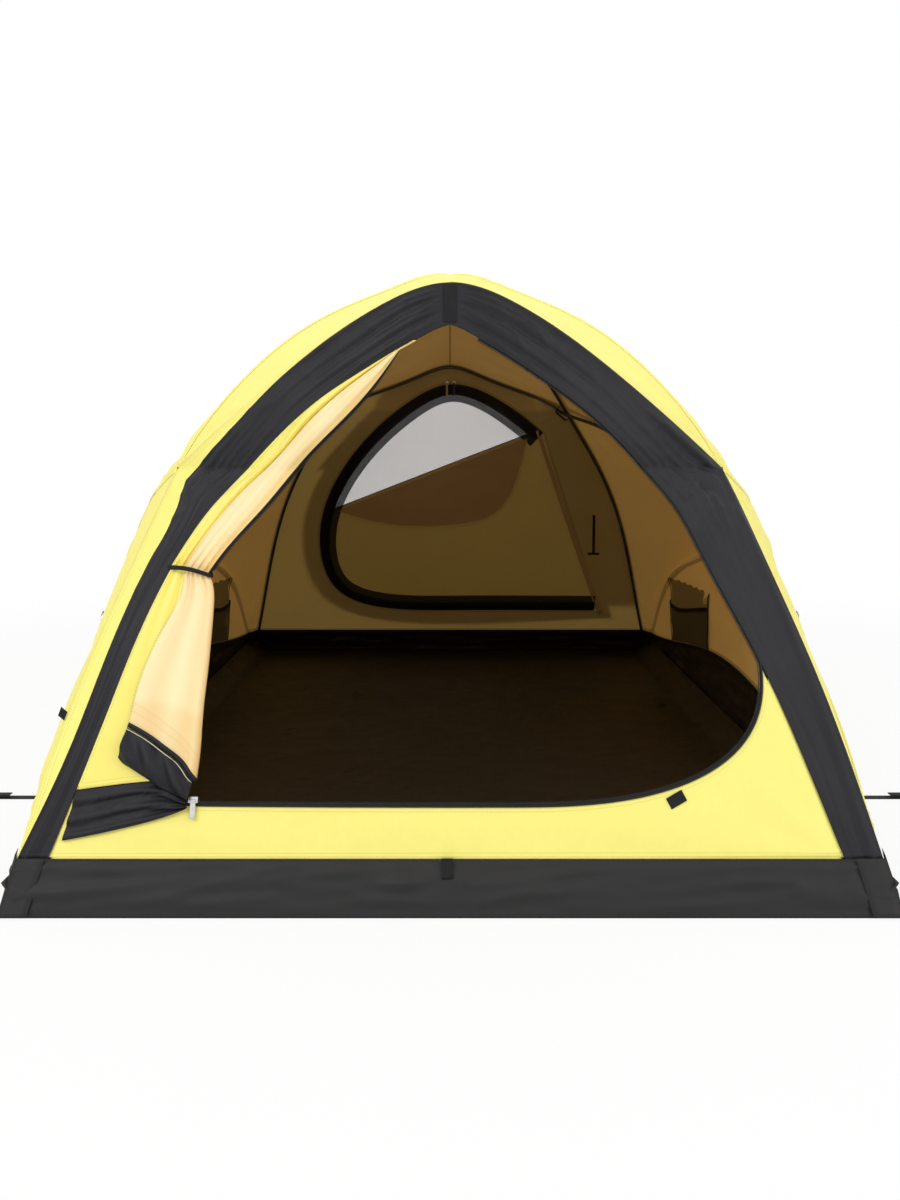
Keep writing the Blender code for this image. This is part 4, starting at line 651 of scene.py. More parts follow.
def cloth_piece(name, grid, looks, node, body="root",
        thickness=None, side=-1.0, regions=None, wrap=False, declare=True, outward=None,
        facing=None, fields=None):
    """A sheet of cloth on a grid of points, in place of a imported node.

    looks is one finish for both faces, or a list of the outer and then the inner finishes.
    """
    looks = looks if isinstance(looks, list) else [looks, looks]
    fields = fields or {}
    normal = grid_normals(grid)
    if facing is not None:
        near = np.linalg.norm(grid - facing[0], axis=-1).argmin()
        flip = normal.reshape(-1, 3)[near] @ facing[1] < 0
    else:
        flip = outward is not None and normal.mean(axis=(0, 1)) @ outward < 0
    if flip:
        grid = grid[:, ::-1]
        fields = {label: values[:, ::-1] for label, values in fields.items()}
    rows, columns = grid.shape[:2]
    closed = closed_round(grid) if wrap else grid
    edge, along = edge_fields(closed, wrap)
    uvs = np.stack([run_over(grid, 1), run_over(grid, 0)], axis=-1).reshape(-1, 2)
    obj = mesh_piece(name, grid.reshape(-1, 3), grid_faces(rows, columns, wrap), looks,
        {"edge": edge[:, :columns], "along": along[:, :columns], **fields}, regions, uvs)
    solid = obj.modifiers.new("thickness", "SOLIDIFY")
    solid.thickness = thickness or sizes().cloth
    solid.offset = side
    solid.use_even_offset = True
    solid.thickness_clamp = 1.0
    solid.material_offset = len(looks) // 2
    placed(obj, body, [node] if node else [])
    if declare:
        width, length, area = cut_size(closed)
    return obj


def cross_frames(path):
    """Two directions square to a path at each point, turning as little as they can."""
    tangent = unit(np.gradient(path, axis=0))
    first = np.zeros_like(path)
    first[0] = unit(np.cross(tangent[0], [0.21, 0.37, 0.90]))
    for i in range(1, len(path)):
        first[i] = unit(first[i - 1] - tangent[i] * (first[i - 1] @ tangent[i]))
    return first, np.cross(tangent, first)


def rod(path, radius, sides=10):
    """Points and faces of a round rod along a path; radius is one number or one a point."""
    path = np.asarray(path, float)
    first, second = cross_frames(path)
    radius = np.broadcast_to(radius, len(path))
    angle = np.linspace(0, TURN, sides, endpoint=False)[None, :, None]
    ring = np.cos(angle) * first[:, None] + np.sin(angle) * second[:, None]
    points = (path[:, None] + ring * radius[:, None, None]).reshape(-1, 3)
    last = (len(path) - 1) * sides
    ends = [list(range(sides))[::-1], [last + j for j in range(sides)]]
    return points, grid_faces(len(path), sides, True) + ends


def gather(parts):
    """Several lots of points and faces as one."""
    points, faces, shift = [], [], 0
    for some_points, some_faces in parts:
        points.append(some_points)
        faces += [[shift + corner for corner in face] for face in some_faces]
        shift += len(some_points)
    return np.vstack(points), faces


def rod_piece(name, parts, look, body="root", nodes=()):
    """Rods gathered in one object."""
    points, faces = gather(parts)
    obj = mesh_piece(name, points, faces, [look])
    reworked(obj.data, lambda work: bmesh.ops.recalc_face_normals(work, faces=work.faces))
    obj.data.set_sharp_from_angle(angle=SHARP)
    return placed(obj, body, nodes)


def strap_piece(name, path, across, width, look, node=None, thickness=0.0014):
    """A flat strap along a path, its width along a direction."""
    path = np.asarray(path, float)
    places = np.linspace(-0.5, 0.5, 7)[None, :, None] * width
    return cloth_piece(name, path[:, None] + unit(across) * places, look, node,
        thickness=thickness, side=0.0, declare=False)


# Looks

class Value:
    """A number or colour that varies over a surface: a node's output, used in plain arithmetic."""

    def __init__(self, nodes, socket):
        self.nodes = nodes
        self.socket = socket

    def math(self, operation, *others):
        return self.nodes.node("ShaderNodeMath", {"operation": operation},
            dict(enumerate((self, *others))))

    __add__ = __radd__ = partialmethod(math, "ADD")
    __mul__ = __rmul__ = partialmethod(math, "MULTIPLY")
    __sub__ = partialmethod(math, "SUBTRACT")
    __truediv__ = partialmethod(math, "DIVIDE")
    __lt__ = partialmethod(math, "LESS_THAN")
    __gt__ = partialmethod(math, "GREATER_THAN")
    __abs__ = partialmethod(math, "ABSOLUTE")
    sine = partialmethod(math, "SINE")
    most = partialmethod(math, "MAXIMUM")

    def __rsub__(self, other):
        return self.nodes.node("ShaderNodeMath", {"operation": "SUBTRACT"}, {0: other, 1: self})

    def held(self):
        return self.nodes.node("ShaderNodeClamp", {}, {"Value": self})

    def out(self, name):
        return Value(self.nodes, self.socket.node.outputs[name])

    def parts(self):
        split = self.nodes.node("ShaderNodeSeparateXYZ", {}, {0: self})
        return split.out("X"), split.out("Y"), split.out("Z")


class Nodes:
    """A node tree being built."""

    def __init__(self, tree):
        self.tree = tree

    def node(self, kind, settings=None, inputs=None):
        made = self.tree.nodes.new(kind)
        for label, value in (settings or {}).items():
            setattr(made, label, value)
        for label, value in (inputs or {}).items():
            if isinstance(value, Value):
                self.tree.links.new(value.socket, made.inputs[label])
            else:
                made.inputs[label].default_value = value
        return Value(self, made.outputs[0])

    def place(self):
        return self.node("ShaderNodeTexCoord").out("Object")

    def seen(self):
        """1 for rays that should see plain white: the camera's, and those of gloss and glass."""
        path = self.node("ShaderNodeLightPath")
        seen = path.out("Is Camera Ray").most(path.out("Is Glossy Ray"))
        return seen.most(path.out("Is Transmission Ray"))

    def surface(self, share, plain, white, output):
        """Lead a mix of a plain shader and a white one to the tree's output."""
        both = self.node("ShaderNodeMixShader", {}, {0: share, 1: plain, 2: white})
        self.tree.links.new(both.socket, self.tree.nodes[output].inputs["Surface"])


class Look(Nodes):
    """A material being made: its shader, and the nodes that feed what varies over a surface."""

    def __init__(self, name, **even):
        self.material = bpy.data.materials.new(name)
        self.material.use_nodes = True
        super().__init__(self.material.node_tree)
        self.shader = self.tree.nodes["Principled BSDF"]
        for label, value in even.items():
            self.shader.inputs[label.replace("_", " ")].default_value = value

    def field(self, name):
        return self.node("ShaderNodeAttribute", {"attribute_name": name}).out("Fac")

    def cloth_run(self):
        return self.node("ShaderNodeUVMap", {"uv_map": "cloth"}).parts()[:2]

    def noise(self, scale, detail=3.0, where=None):
        return self.node("ShaderNodeTexNoise", {}, {"Vector": where or self.place(),
            "Scale": scale, "Detail": detail}).out("Fac")

    def mix(self, share, first, second):
        made = self.node("ShaderNodeMix", {"data_type": "RGBA"}, {0: share, 6: first, 7: second})
        return Value(self, made.socket.node.outputs[2])

    def plug(self, label, value):
        self.tree.links.new(value.socket, self.shader.inputs[label])

    def shades(self, share, name, dark, light):
        """Base colour between a darker and a lighter shade of one of the tent's colours."""
        self.plug("Base Color", self.mix(share, tone(name, dark), tone(name, light)))

    def bump(self, height, strength, distance):
        self.plug("Normal", self.node("ShaderNodeBump", {},
            {"Height": height, "Strength": strength, "Distance": distance}))


def sizes():
    return bpy.context.scene.tent_sizes


def shade(colour, share):
    """A colour made darker or lighter by a share, with its alpha."""
    return tuple(min(c * share, 1.0) for c in colour[:3]) + (1.0,)


def tone(name, share=1.0):
    """One of the tent's colours, made darker or lighter by a share."""
    return shade(getattr(bpy.context.scene.tent_colours, name), share)


def weave(look, thread):
    """The small bumps of a plain weave, -1 to 1."""
    u, v = look.cloth_run()
    pace = math.pi / thread
    return (u * pace).sine() * (v * pace).sine()


def stitches(look, away, pitch, width):
    """1 on the dashes of a row of stitches that runs along the sheet's edge."""
    line = (1.0 - abs(look.field("edge") - away) / width).held()
    dash = (look.field("along") * (TURN / pitch)).sine() > -0.4
    return line * dash


def finish(name, fill, **even):
    """A finish as a function: it makes its material when first called, and then shares it."""
    def made():
        if name not in bpy.data.materials:
            fill(Look(name, **even))
        return bpy.data.materials[name]
    return made


def woven(name, colour, roughness, share=1.0, rows=(0.0035, 0.0085), spread=0.05, tape=0.0,
        tape_share=0.8, glow=None, fold_shade_colour=None, **even):
    """Woven cloth with stitched edges; inside, seam tape and a painted glow for the light it lets
    through.
    """
    def fill(look):
        plain = tone(colour, share)
        cloudy = look.noise(3.1, 4.0)
        fine = look.noise(90.0, 2.0)
        base = look.mix(cloudy, shade(plain, 1 - spread), shade(plain, 1 + spread))
        base = look.mix(fine * 0.25, base, shade(plain, 0.82))
        height = weave(look, CLOTH_THREAD) * 0.12 + look.noise(260.0, 2.0) * 0.2
        # Painted shade: where a piece carries a fold field, its colour turns a darker orange in
        # the folds.
        if fold_shade_colour:
            base = look.mix((look.field("fold") * 0.9).held(), base, (*fold_shade_colour, 1.0))
        if tape:
            taped = look.field("edge") < tape
            base = look.mix(taped, base, shade(plain, tape_share))
            height = height + taped * 0.6
        for away in rows:
            row = stitches(look, away, STITCH_PITCH, STITCH_WIDTH)
            base = look.mix(row * 0.7, base, shade(plain, 0.55))
            dent = (1.0 - abs(look.field("edge") - away) / 0.003).held()
            height = height + row * 0.9 - dent * 0.5
        # Painted light: the emitted glow stands in for daylight through the cloth, with painted
        # shade where the cloth is doubled or taped.
        if glow:
            through = look.mix(cloudy, tone(glow, 0.90), tone(glow, 1.10))
            through = look.mix(fine * 0.3, through, tone(glow, 0.75))
            thick = (look.field("doubled") * 0.75).held()
            if tape:
                thick = thick.most(taped * (1 - tape_share))
            look.plug("Emission Color", look.mix(thick, through, (0.0, 0.0, 0.0, 1.0)))
            look.shader.inputs["Emission Strength"].default_value = 1.0
        look.plug("Base Color", base)
        look.plug("Roughness", look.noise(14.0) * 0.16 + (roughness - 0.08))
        look.bump(height, 0.35, 0.0006)
    return finish(name, fill, **even)


def hemmed(look):
    """The front door's inner cloth, with the deep hem above its zip, painted shade in its folds
    and over its doubled hem.
    """
    base = look.mix(look.noise(3.1, 4.0), tone("peach", 0.94), tone("peach", 1.04))
    u, v = look.cloth_run()
    lengthwise = look.node("ShaderNodeCombineXYZ", {}, {0: u * 60.0, 1: v * 6.0})
    streaks = look.noise(1.0, where=lengthwise)
    base = look.mix((streaks - 0.45).held() * 0.5, base, (0.90, 0.62, 0.26, 1.0))
    # Painted shade: a darker orange in the folds, from the fold field.
    base = look.mix((look.field("fold") * 0.9).held(), base, (0.84, 0.47, 0.14, 1.0))
    away = look.field("hem")
    # Painted shade: the doubled band over the hem is darker, as where less light comes through it;
    # the two stitch rows are real.
    doubled = (away < 0.034) * 0.16
    rows = (1.0 - abs(away - 0.020) / 0.0018).held() + (1.0 - abs(away - 0.033) / 0.0018).held()
    base = look.mix(doubled + rows * 0.30, base, (0.80, 0.50, 0.20, 1.0))
    look.plug("Base Color", base)
    look.plug("Roughness", look.noise(14.0) * 0.16 + 0.60)
    look.bump(weave(look, CLOTH_THREAD) * 0.12 + doubled * 3.0 - rows * 0.6 + streaks * 0.3, 0.35,
        0.0006)


def coated(look):
    """The floor's smooth coated cloth."""
    look.shades(look.noise(5.0, 5.0), "floor", 0.8, 1.3)
    look.plug("Roughness", look.noise(9.0, 4.0) * 0.25 + 0.30)
    look.bump(look.noise(22.0, 5.0) * 1.0 + weave(look, 0.0006) * 0.1, 0.5, 0.004)


def ribbed(look):
    """Webbing: ribs along it and picks across."""
    u, v = look.cloth_run()
    wave = (u * (math.pi / 0.0016)).sine()
    look.shades(abs(wave) * 0.5 + look.noise(60.0) * 0.5, "webbing", 0.7, 1.6)
    look.plug("Roughness", look.noise(40.0) * 0.2 + 0.65)
    look.bump(abs(wave) + (v * (TURN / 0.0022)).sine() * wave * 0.4, 0.6, 0.0006)


def facing_with_painted_shade(look):
    """The thin dark facing inside the rear zip band, part see-through so that it also paints the
    shade beside the band.
    """
    look.shades(look.noise(12.0), "webbing", 0.9, 2.2)
    look.plug("Alpha", (look.noise(900.0, 1.0) * 0.10 + 0.62).held())
    look.bump(weave(look, 0.0008), 0.3, 0.0003)


def tube(look):
    """Anodised tube, brushed and here and there worn."""
    brushed = look.noise(420.0, 2.0)
    worn = look.noise(16.0, 5.0) > 0.66
    base = look.mix(brushed, tone("pole", 0.8), tone("pole", 1.2))
    look.plug("Base Color", look.mix(worn * 0.4, base, tone("pole", 2.4)))
    look.plug("Roughness", brushed * 0.18 + 0.30)
    look.bump(brushed, 0.10, 0.0002)


def netting(name, colour, pitch, mottle, shades, cut, alpha, **even):
    """Fine netting: square holes between knitted threads, part see-through."""
    def fill(look):
        u, v = look.cloth_run()
        threads = abs((u * (math.pi / pitch)).sine()).most(abs((v * (math.pi / pitch)).sine()))
        look.shades(look.noise(mottle), colour, *shades)
        look.plug("Alpha", ((threads > cut) * alpha[0] + alpha[1]).held())
        look.bump(threads, 0.4, 0.0003)
    return finish(name, fill, **even)


def grained(name, colour, grain, shades, rough, bump, mottle=None, **even):
    """Metal, plastic or thread that is uneven by one fine grain."""
    def fill(look):
        fine = look.noise(*grain)
        look.shades(look.noise(mottle) if mottle else fine, colour, *shades)
        look.plug("Roughness", fine * rough[0] + rough[1])
        look.bump(fine, *bump)
    return finish(name, fill, **even)


def thread(name, colour):
    return grained(name, colour, (700.0, 2.0), (0.75, 1.2), (0.2, 0.5), (0.3, 0.0003),
        Specular_IOR_Level=0.25)


# The finishes, each made when it is first used
CLOTH_THREAD = 0.0005
STITCH_PITCH = 0.0042
STITCH_WIDTH = 0.0009
SCUFFS = (240.0, 4.0)
SCUFF_BUMP = (0.12, 0.0002)

lemon_cloth = woven("Lemon cloth", "lemon", 0.60, fold_shade_colour=(0.93, 0.68, 0.04))
charcoal_cloth = woven("Charcoal cloth", "charcoal", 0.52, rows=(0.004, 0.009), spread=0.10,
    Specular_IOR_Level=0.22)
skirt_cloth = woven("Skirt cloth", "skirt", 0.55, rows=(0.005,), spread=0.12,
    Specular_IOR_Level=0.22)
# Painted shade: the cabin lining is the peach inner face made darker and browner for the shade
# inside the cabin, and it glows with painted light.
shaded_cabin_lining = woven("Cabin lining", "lining", 0.72, rows=(), tape=0.010, tape_share=0.62,
    spread=0.08, glow="glow")
peach_lining = woven("Peach lining", "peach", 0.68, rows=(), spread=0.06, fold_shade_colour=(0.89, 0.58, 0.20))
# Painted shade: the rear door, rear wall and folded cover take darker and darker shares of one
# rear lining colour, each with its own painted glow.
rear_lining = woven("Rear lining", "rear_lining", 0.75, 0.75, rows=(), tape=0.008, tape_share=0.7,
    spread=0.10, glow="rear_glow")
shaded_wall_lining = woven("Rear wall lining", "rear_lining", 0.75, 0.55, rows=(), tape=0.008,
    tape_share=0.7, spread=0.10, glow="wall_glow")
shaded_cover_lining = woven("Window cover lining", "rear_lining", 0.75, 0.45, rows=(), spread=0.10,
    glow="cover_glow")
hemmed_peach = finish("Hemmed peach lining", hemmed)
floor_cloth = finish("Floor cloth", coated, Coat_Roughness=0.35)
black_webbing = finish("Black webbing", ribbed, Specular_IOR_Level=0.2)
zip_facing_shade = finish("Zip facing", facing_with_painted_shade, Roughness=0.85, Specular_IOR_Level=0.2)
anodised_tube = finish("Anodised tube", tube, Metallic=0.85)
window_net = netting("Window net", "net", 0.0016, 8.0, (0.92, 1.08), 0.86, (0.48, 0.12),
    Roughness=0.8, Sheen_Weight=0.2)
pocket_net = netting("Pocket net", "webbing", 0.0022, 12.0, (0.7, 1.5), 0.8, (0.30, 0.22),
    Roughness=0.85)
moulded_plastic = grained("Moulded plastic", "plastic", (900.0, 2.0), (0.8, 1.5), (0.2, 0.36),
    (0.25, 0.0002), mottle=40.0)
cast_zinc = grained("Cast zinc", "metal", SCUFFS, (0.75, 1.1), (0.22, 0.20), SCUFF_BUMP,
    Metallic=1.0)
dull_brass = grained("Dull brass", "brass", SCUFFS, (0.7, 1.15), (0.25, 0.28), SCUFF_BUMP,
    Metallic=0.9)
zip_tape = thread("Zip tape", "webbing")
light_thread = thread("Light thread", "light_thread")
seam_thread = thread("Seam thread", "seam_thread")
cover_binding = thread("Cover binding", "rear_lining")


# Settings

def length(name, default, description):
    return FloatProperty(name=name, description=description, default=default, min=0.0,
        unit="LENGTH", precision=4)


def tint(name, default, description):
    return FloatVectorProperty(name=name, description=description, default=default, size=3,
        min=0.0, max=1.0, subtype="COLOR")


class TentSizes(PropertyGroup):
    cloth: length("Cloth", 0.0006, "Thickness of the sewn panels' cloth")
    roof_folds: length("Roof folds", 0.0040, "Depth of the folds that spread from pulled corners")
    roof_waves: length("Roof waves", 0.0016, "Depth of the slack between the poles")
    band_folds: length("Band folds", 0.0032, "Depth of the folds along the black bands")
    pole_ridge: length("Pole ridge", 0.0040, "How far a pole shows through the band")
    skirt_folds: length("Skirt folds", 0.0034, "Depth of the creases in the skirt")
    floor_folds: length("Floor folds", 0.0030, "Height of the wrinkles in the floor")
    flap_folds: length("Flap folds", 0.0220, "Depth of the gathered door's folds")
    zip_teeth: length("Zip teeth", 0.0028, "Distance from one tooth of the zip to the next")
    roof_sag: length("Roof sag", 0.0240, "How far the front roof panel hangs in")
    seam_width: length("Seam width", 0.0120, "Width of the felled seams over the poles")


class TentColours(PropertyGroup):
    lemon: tint("Lemon", (0.965, 0.865, 0.215), "Outer face of the yellow cloth")
    charcoal: tint("Charcoal", (0.014, 0.014, 0.017), "The bands that frame the front door")
    skirt: tint("Skirt", (0.022, 0.021, 0.021), "The tub's outer wall")
    floor: tint("Floor", (0.016, 0.012, 0.009), "The floor inside")
    # Painted shade: the lining tint is the peach inner face made darker and browner for the cabin.
    lining: tint("Lining", (0.88, 0.60, 0.24), "Inner face of the roof and side panels")
    glow: tint("Glow", (0.098, 0.057, 0.014), "Daylight that comes through the roof and sides")
    peach: tint("Peach", (0.96, 0.83, 0.47), "Inner face of the front door")
    # Painted shade: the peach inner face made darker still for the rear wall and door.
    rear_lining: tint("Rear lining", (0.80, 0.60, 0.28), "Inner face of the rear wall and door")
    rear_glow: tint("Rear glow", (0.038, 0.027, 0.005), "Daylight through the rear door")
    wall_glow: tint("Rear wall glow", (0.085, 0.056, 0.014), "Daylight through the rear wall")
    cover_glow: tint("Cover glow", (0.020, 0.009, 0.003), "Daylight through the folded cover")
    net: tint("Net", (0.80, 0.80, 0.78), "The rear window's net")
    webbing: tint("Webbing", (0.012, 0.012, 0.013), "Straps, tapes and pockets")
    pole: tint("Pole", (0.10, 0.10, 0.11), "The anodised poles")
    plastic: tint("Plastic", (0.012, 0.012, 0.012), "Cups and toggles")
    metal: tint("Metal", (0.62, 0.62, 0.60), "Sliders, pulls and rings")
    brass: tint("Brass", (0.30, 0.24, 0.11), "The second pull and the coil's thread")
    light_thread: tint("Light thread", (0.62, 0.58, 0.40), "The line along the door's zip")
    seam_thread: tint("Seam thread", (0.30, 0.10, 0.03), "The ridge seam inside")


class TENT_OT_camera(Operator):
    """Place the camera where the photograph was taken"""
    bl_idname = "tent.camera"
    bl_label = "Camera"

    PLACE = (0.0, -2.913, 0.673)
    TILT = 82.99
    LENS = 37.69

    def execute(self, context):
        data = bpy.data.cameras.new("Camera")
        data.lens = self.LENS
        data.sensor_width = 36.0
        data.clip_start = 0.05
        data.clip_end = 200.0
        camera = added("Camera", data)
        camera.location = self.PLACE
        camera.rotation_euler = (math.radians(self.TILT), 0.0, 0.0)
        context.scene.camera = camera
        return {"FINISHED"}


class TENT_OT_stage(Operator):
    """Build the pale floor, the white surroundings and the soft lamps"""
    bl_idname = "tent.stage"
    bl_label = "Studio"

    FLOOR_REACH = 40.0
    FLOOR_DROP = 0.0005
    FLOOR_COLOUR = (0.92, 0.92, 0.92, 1)
    WHITE = (1, 1, 1, 1)
    WHITE_SHARE = 0.84
    WHITE_FROM = (1.3, 3.4)
    SKY = 0.52
    # Each lamp's place, the point it looks at, its width and its power
    LAMPS = {"key_softbox": ((-2.6, -3.6, 3.6), (0, -0.6, 0.4), 3.0, 95.0),
        "fill_softbox": ((3.2, -3.2, 2.6), (0, -0.4, 0.4), 3.0, 60.0),
        "top_softbox": ((0.0, 0.6, 4.2), (0, 0, 0.5), 4.0, 45.0)}

    def floor(self):
        look = Look("Studio floor", Base_Color=self.FLOOR_COLOUR, Roughness=0.9)
        away = look.node("ShaderNodeVectorMath", {"operation": "LENGTH"}, {0: look.place()})
        share = look.node("ShaderNodeMapRange", {"interpolation_type": "SMOOTHSTEP"},
            {"Value": away.out("Value"), "From Min": self.WHITE_FROM[0],
            "From Max": self.WHITE_FROM[1], "To Min": self.WHITE_SHARE, "To Max": 1.0})
        white = look.node("ShaderNodeEmission", {}, {"Color": self.WHITE})
        look.surface(look.seen() * share, Value(look, look.shader.outputs[0]), white,
            "Material Output")
        corners = [(x, y, -self.FLOOR_DROP) for x, y in self.FLOOR_REACH
            * np.array([(-1, -1), (1, -1), (1, 1), (-1, 1)])]
        mesh_piece("studio_floor", corners, [(0, 1, 2, 3)], [look.material])

    def sky(self, scene):
        scene.world = bpy.data.worlds.new("Studio")
        scene.world.use_nodes = True
        nodes = Nodes(scene.world.node_tree)
        plain = nodes.tree.nodes["Background"]
        plain.inputs["Color"].default_value = self.WHITE
        plain.inputs["Strength"].default_value = self.SKY
        white = nodes.node("ShaderNodeBackground", {}, {"Color": self.WHITE, "Strength": 1.0})
        nodes.surface(nodes.seen(), Value(nodes, plain.outputs[0]), white, "World Output")

    def lamp(self, name, place, aim, size, power):
        data = bpy.data.lights.new(name, "AREA")
        data.shape = "RECTANGLE"
        data.size = data.size_y = size
        data.energy = power
        lamp = added(name, data)
        lamp.location = place
        lamp.rotation_euler = (Vector(aim) - Vector(place)).to_track_quat("-Z", "Y").to_euler()

    def execute(self, context):
        context.scene.view_settings.view_transform = "Standard"
        self.floor()
        self.sky(context.scene)
        for name, lamp in self.LAMPS.items():
            self.lamp(name, *lamp)
        return {"FINISHED"}


def draped(name, depth, slack, seed, folds=9, reach=0.30):
    """A panel's grid with folds from its corners and slack in its middle."""
    grid, normal = panels[name]
    facing = unit(normal.mean(axis=(0, 1)))
    edge, _ = edge_fields(grid)
    amount = np.zeros(grid.shape[:2])
    corners = [grid[0, 0], grid[0, -1], grid[-1, 0], grid[-1, -1]]
    for k, anchor in enumerate(corners):
        amount += radiating(grid, facing, anchor, folds + k, reach, seed + 3 * k) * depth
    amount += waves(grid, 0.22, seed) * slack + waves(grid, 0.07, seed + 1) * slack * 0.25
    pucker = np.exp(-edge / 0.030) * waves(grid, 0.045, seed + 5) * slack * 0.8
    return grid + normal * ((amount + pucker) * ease((edge - 0.004) / 0.045))[..., None]


def seam_sides(point, along):
    """The two panels that meet at a seam: each one's normal and its direction off the seam."""
    shared = seam_normals[key(point)]
    one, two = shared[0], shared[-1]
    into = np.cross(along, one)
    if into @ two > 0:
        one, two = two, one
        into = np.cross(along, one)
    return one, into, two, -np.cross(along, two)


def felled_seam(line, width):
    """A raised strip over a seam, its two sides lying on the panels that meet there."""
    half = width / 2
    rise = ((1.0, 0.0002), (0.9, 0.0011), (0.4, 0.0014))
    rows = []
    for point, along in zip(line, unit(np.gradient(line, axis=0))):
        one, into, two, other = seam_sides(point, along)
        rows.append([point + into * half * a + one * b for a, b in rise]
            + [point + seam_out(point) * 0.0018] + [point + other * half * a + two * b for a,
            b in rise[::-1]])
    return np.array(rows)


class TENT_OT_roof(Operator):
    """Sew the roof and side panels and the felled seams between them"""
    bl_idname = "tent.roof"
    bl_label = "Roof and sides"

    HANG = 0.0030

    def execute(self, context):
        names = [n for n in panels if n.startswith(("roof", "side"))]
        middles = {}
        for seed, name in enumerate(names):
            grid = draped(name, sizes().roof_folds, sizes().roof_waves, 11 + 7 * seed)
            if name == "roof_front":
                edge, _ = edge_fields(grid)
                sag = sizes().roof_sag * (1 - np.exp(-(edge / 0.12) ** 2))
                grid = grid - panels[name][1] * sag[..., None]
            middle = grid.shape[1] // 2
            middles[name] = grid[:, middle] - panels[name][1][:, middle] * self.HANG
            cloth_piece(name, grid, [lemon_cloth(), shaded_cabin_lining()], name)
        seams = {"seam_peak_front": PEAK_FRONT, "seam_peak_rear": PEAK_REAR,
            "seam_front_side": FRONT_SIDE, "seam_rear_side": REAR_SIDE,
            "seam_side_front": SIDE_FRONT, "seam_side_rear": SIDE_REAR, "seam_rear_leg": REAR_LEG}
        lines = {f"{name}_{label}": line * side for name, line in seams.items() for side,
            label in SIDES}
        lines["seam_rear_brow"] = np.vstack([REAR_BROW[::-1], REAR_BROW[1:] * MIRROR])
        for name, line in lines.items():
            cloth_piece(name, felled_seam(line, sizes().seam_width), lemon_cloth(), None,
                thickness=0.0003, declare=False)
        self.ridge_seams(middles)
        self.sleeves()
        return {"FINISHED"}

    def sleeves(self):
        """Sleeves of lining that hold the arch poles' legs against the side walls."""
        flat_part = ((0.0150, 0.0012), (0.0105, 0.0026))
        round_part = ((0.0080, 0.0068), (0.0058, 0.0106), (0.0030, 0.0130), (0.0, 0.0138))
        away = np.linalg.norm(SIDE_FRONT - SIDE_TIE, axis=1)
        for name, line in (("rear", SIDE_REAR[1:-1]),
                ("front", SIDE_FRONT[away > POLE_DIP_REACH][:-1])):
            for side, label in SIDES:
                seam_line = line * side
                tangent = unit(np.gradient(seam_line, axis=0))
                outward = np.array([seam_out(point) for point in seam_line])
                square = unit(np.cross(tangent, outward))
                ways = [seam_sides(point, way) for point, way in zip(seam_line, tangent)]
                one, into, two, other = (np.array(part) for part in zip(*ways))
                lean = np.sign(np.sum(into * square, axis=1))[:, None]
                rows = [seam_line + into * a - one * (CLOTH + b) for a, b in flat_part]
                rows += [seam_line + square * lean * a - outward * (CLOTH + b) for a,
                    b in round_part]
                rows += [seam_line - square * lean * a - outward * (CLOTH + b) for a,
                    b in round_part[-2::-1]]
                rows += [seam_line + other * a - two * (CLOTH + b) for a, b in flat_part[::-1]]
                cloth_piece(f"pole_sleeve_{name}_{label}", np.array(rows), shaded_cabin_lining(), None,
                    thickness=0.0004, side=0.0)

    def ridge_seams(self, middles):
        """The thread line along the middle of the roof, seen from inside."""
        for name in ("front", "rear"):
            rod_piece("ridge_seam_" + name, [rod(middles["roof_" + name][4:], 0.0012, 6)],
                seam_thread())


def finer(grid, rows, columns):
    """A grid of points drawn again with more rows and columns."""
    for axis, count in ((0, rows), (1, columns)):
        old = np.arange(grid.shape[axis])
        at = np.linspace(0, grid.shape[axis] - 1, count)
        low = np.minimum(at.astype(int), grid.shape[axis] - 2)
        share = (at - low).reshape((-1, 1, 1) if axis == 0 else (1, -1, 1))
        grid = (np.take(grid, old[low], axis) * (1 - share)
            + np.take(grid, old[low + 1], axis) * share)
    return grid


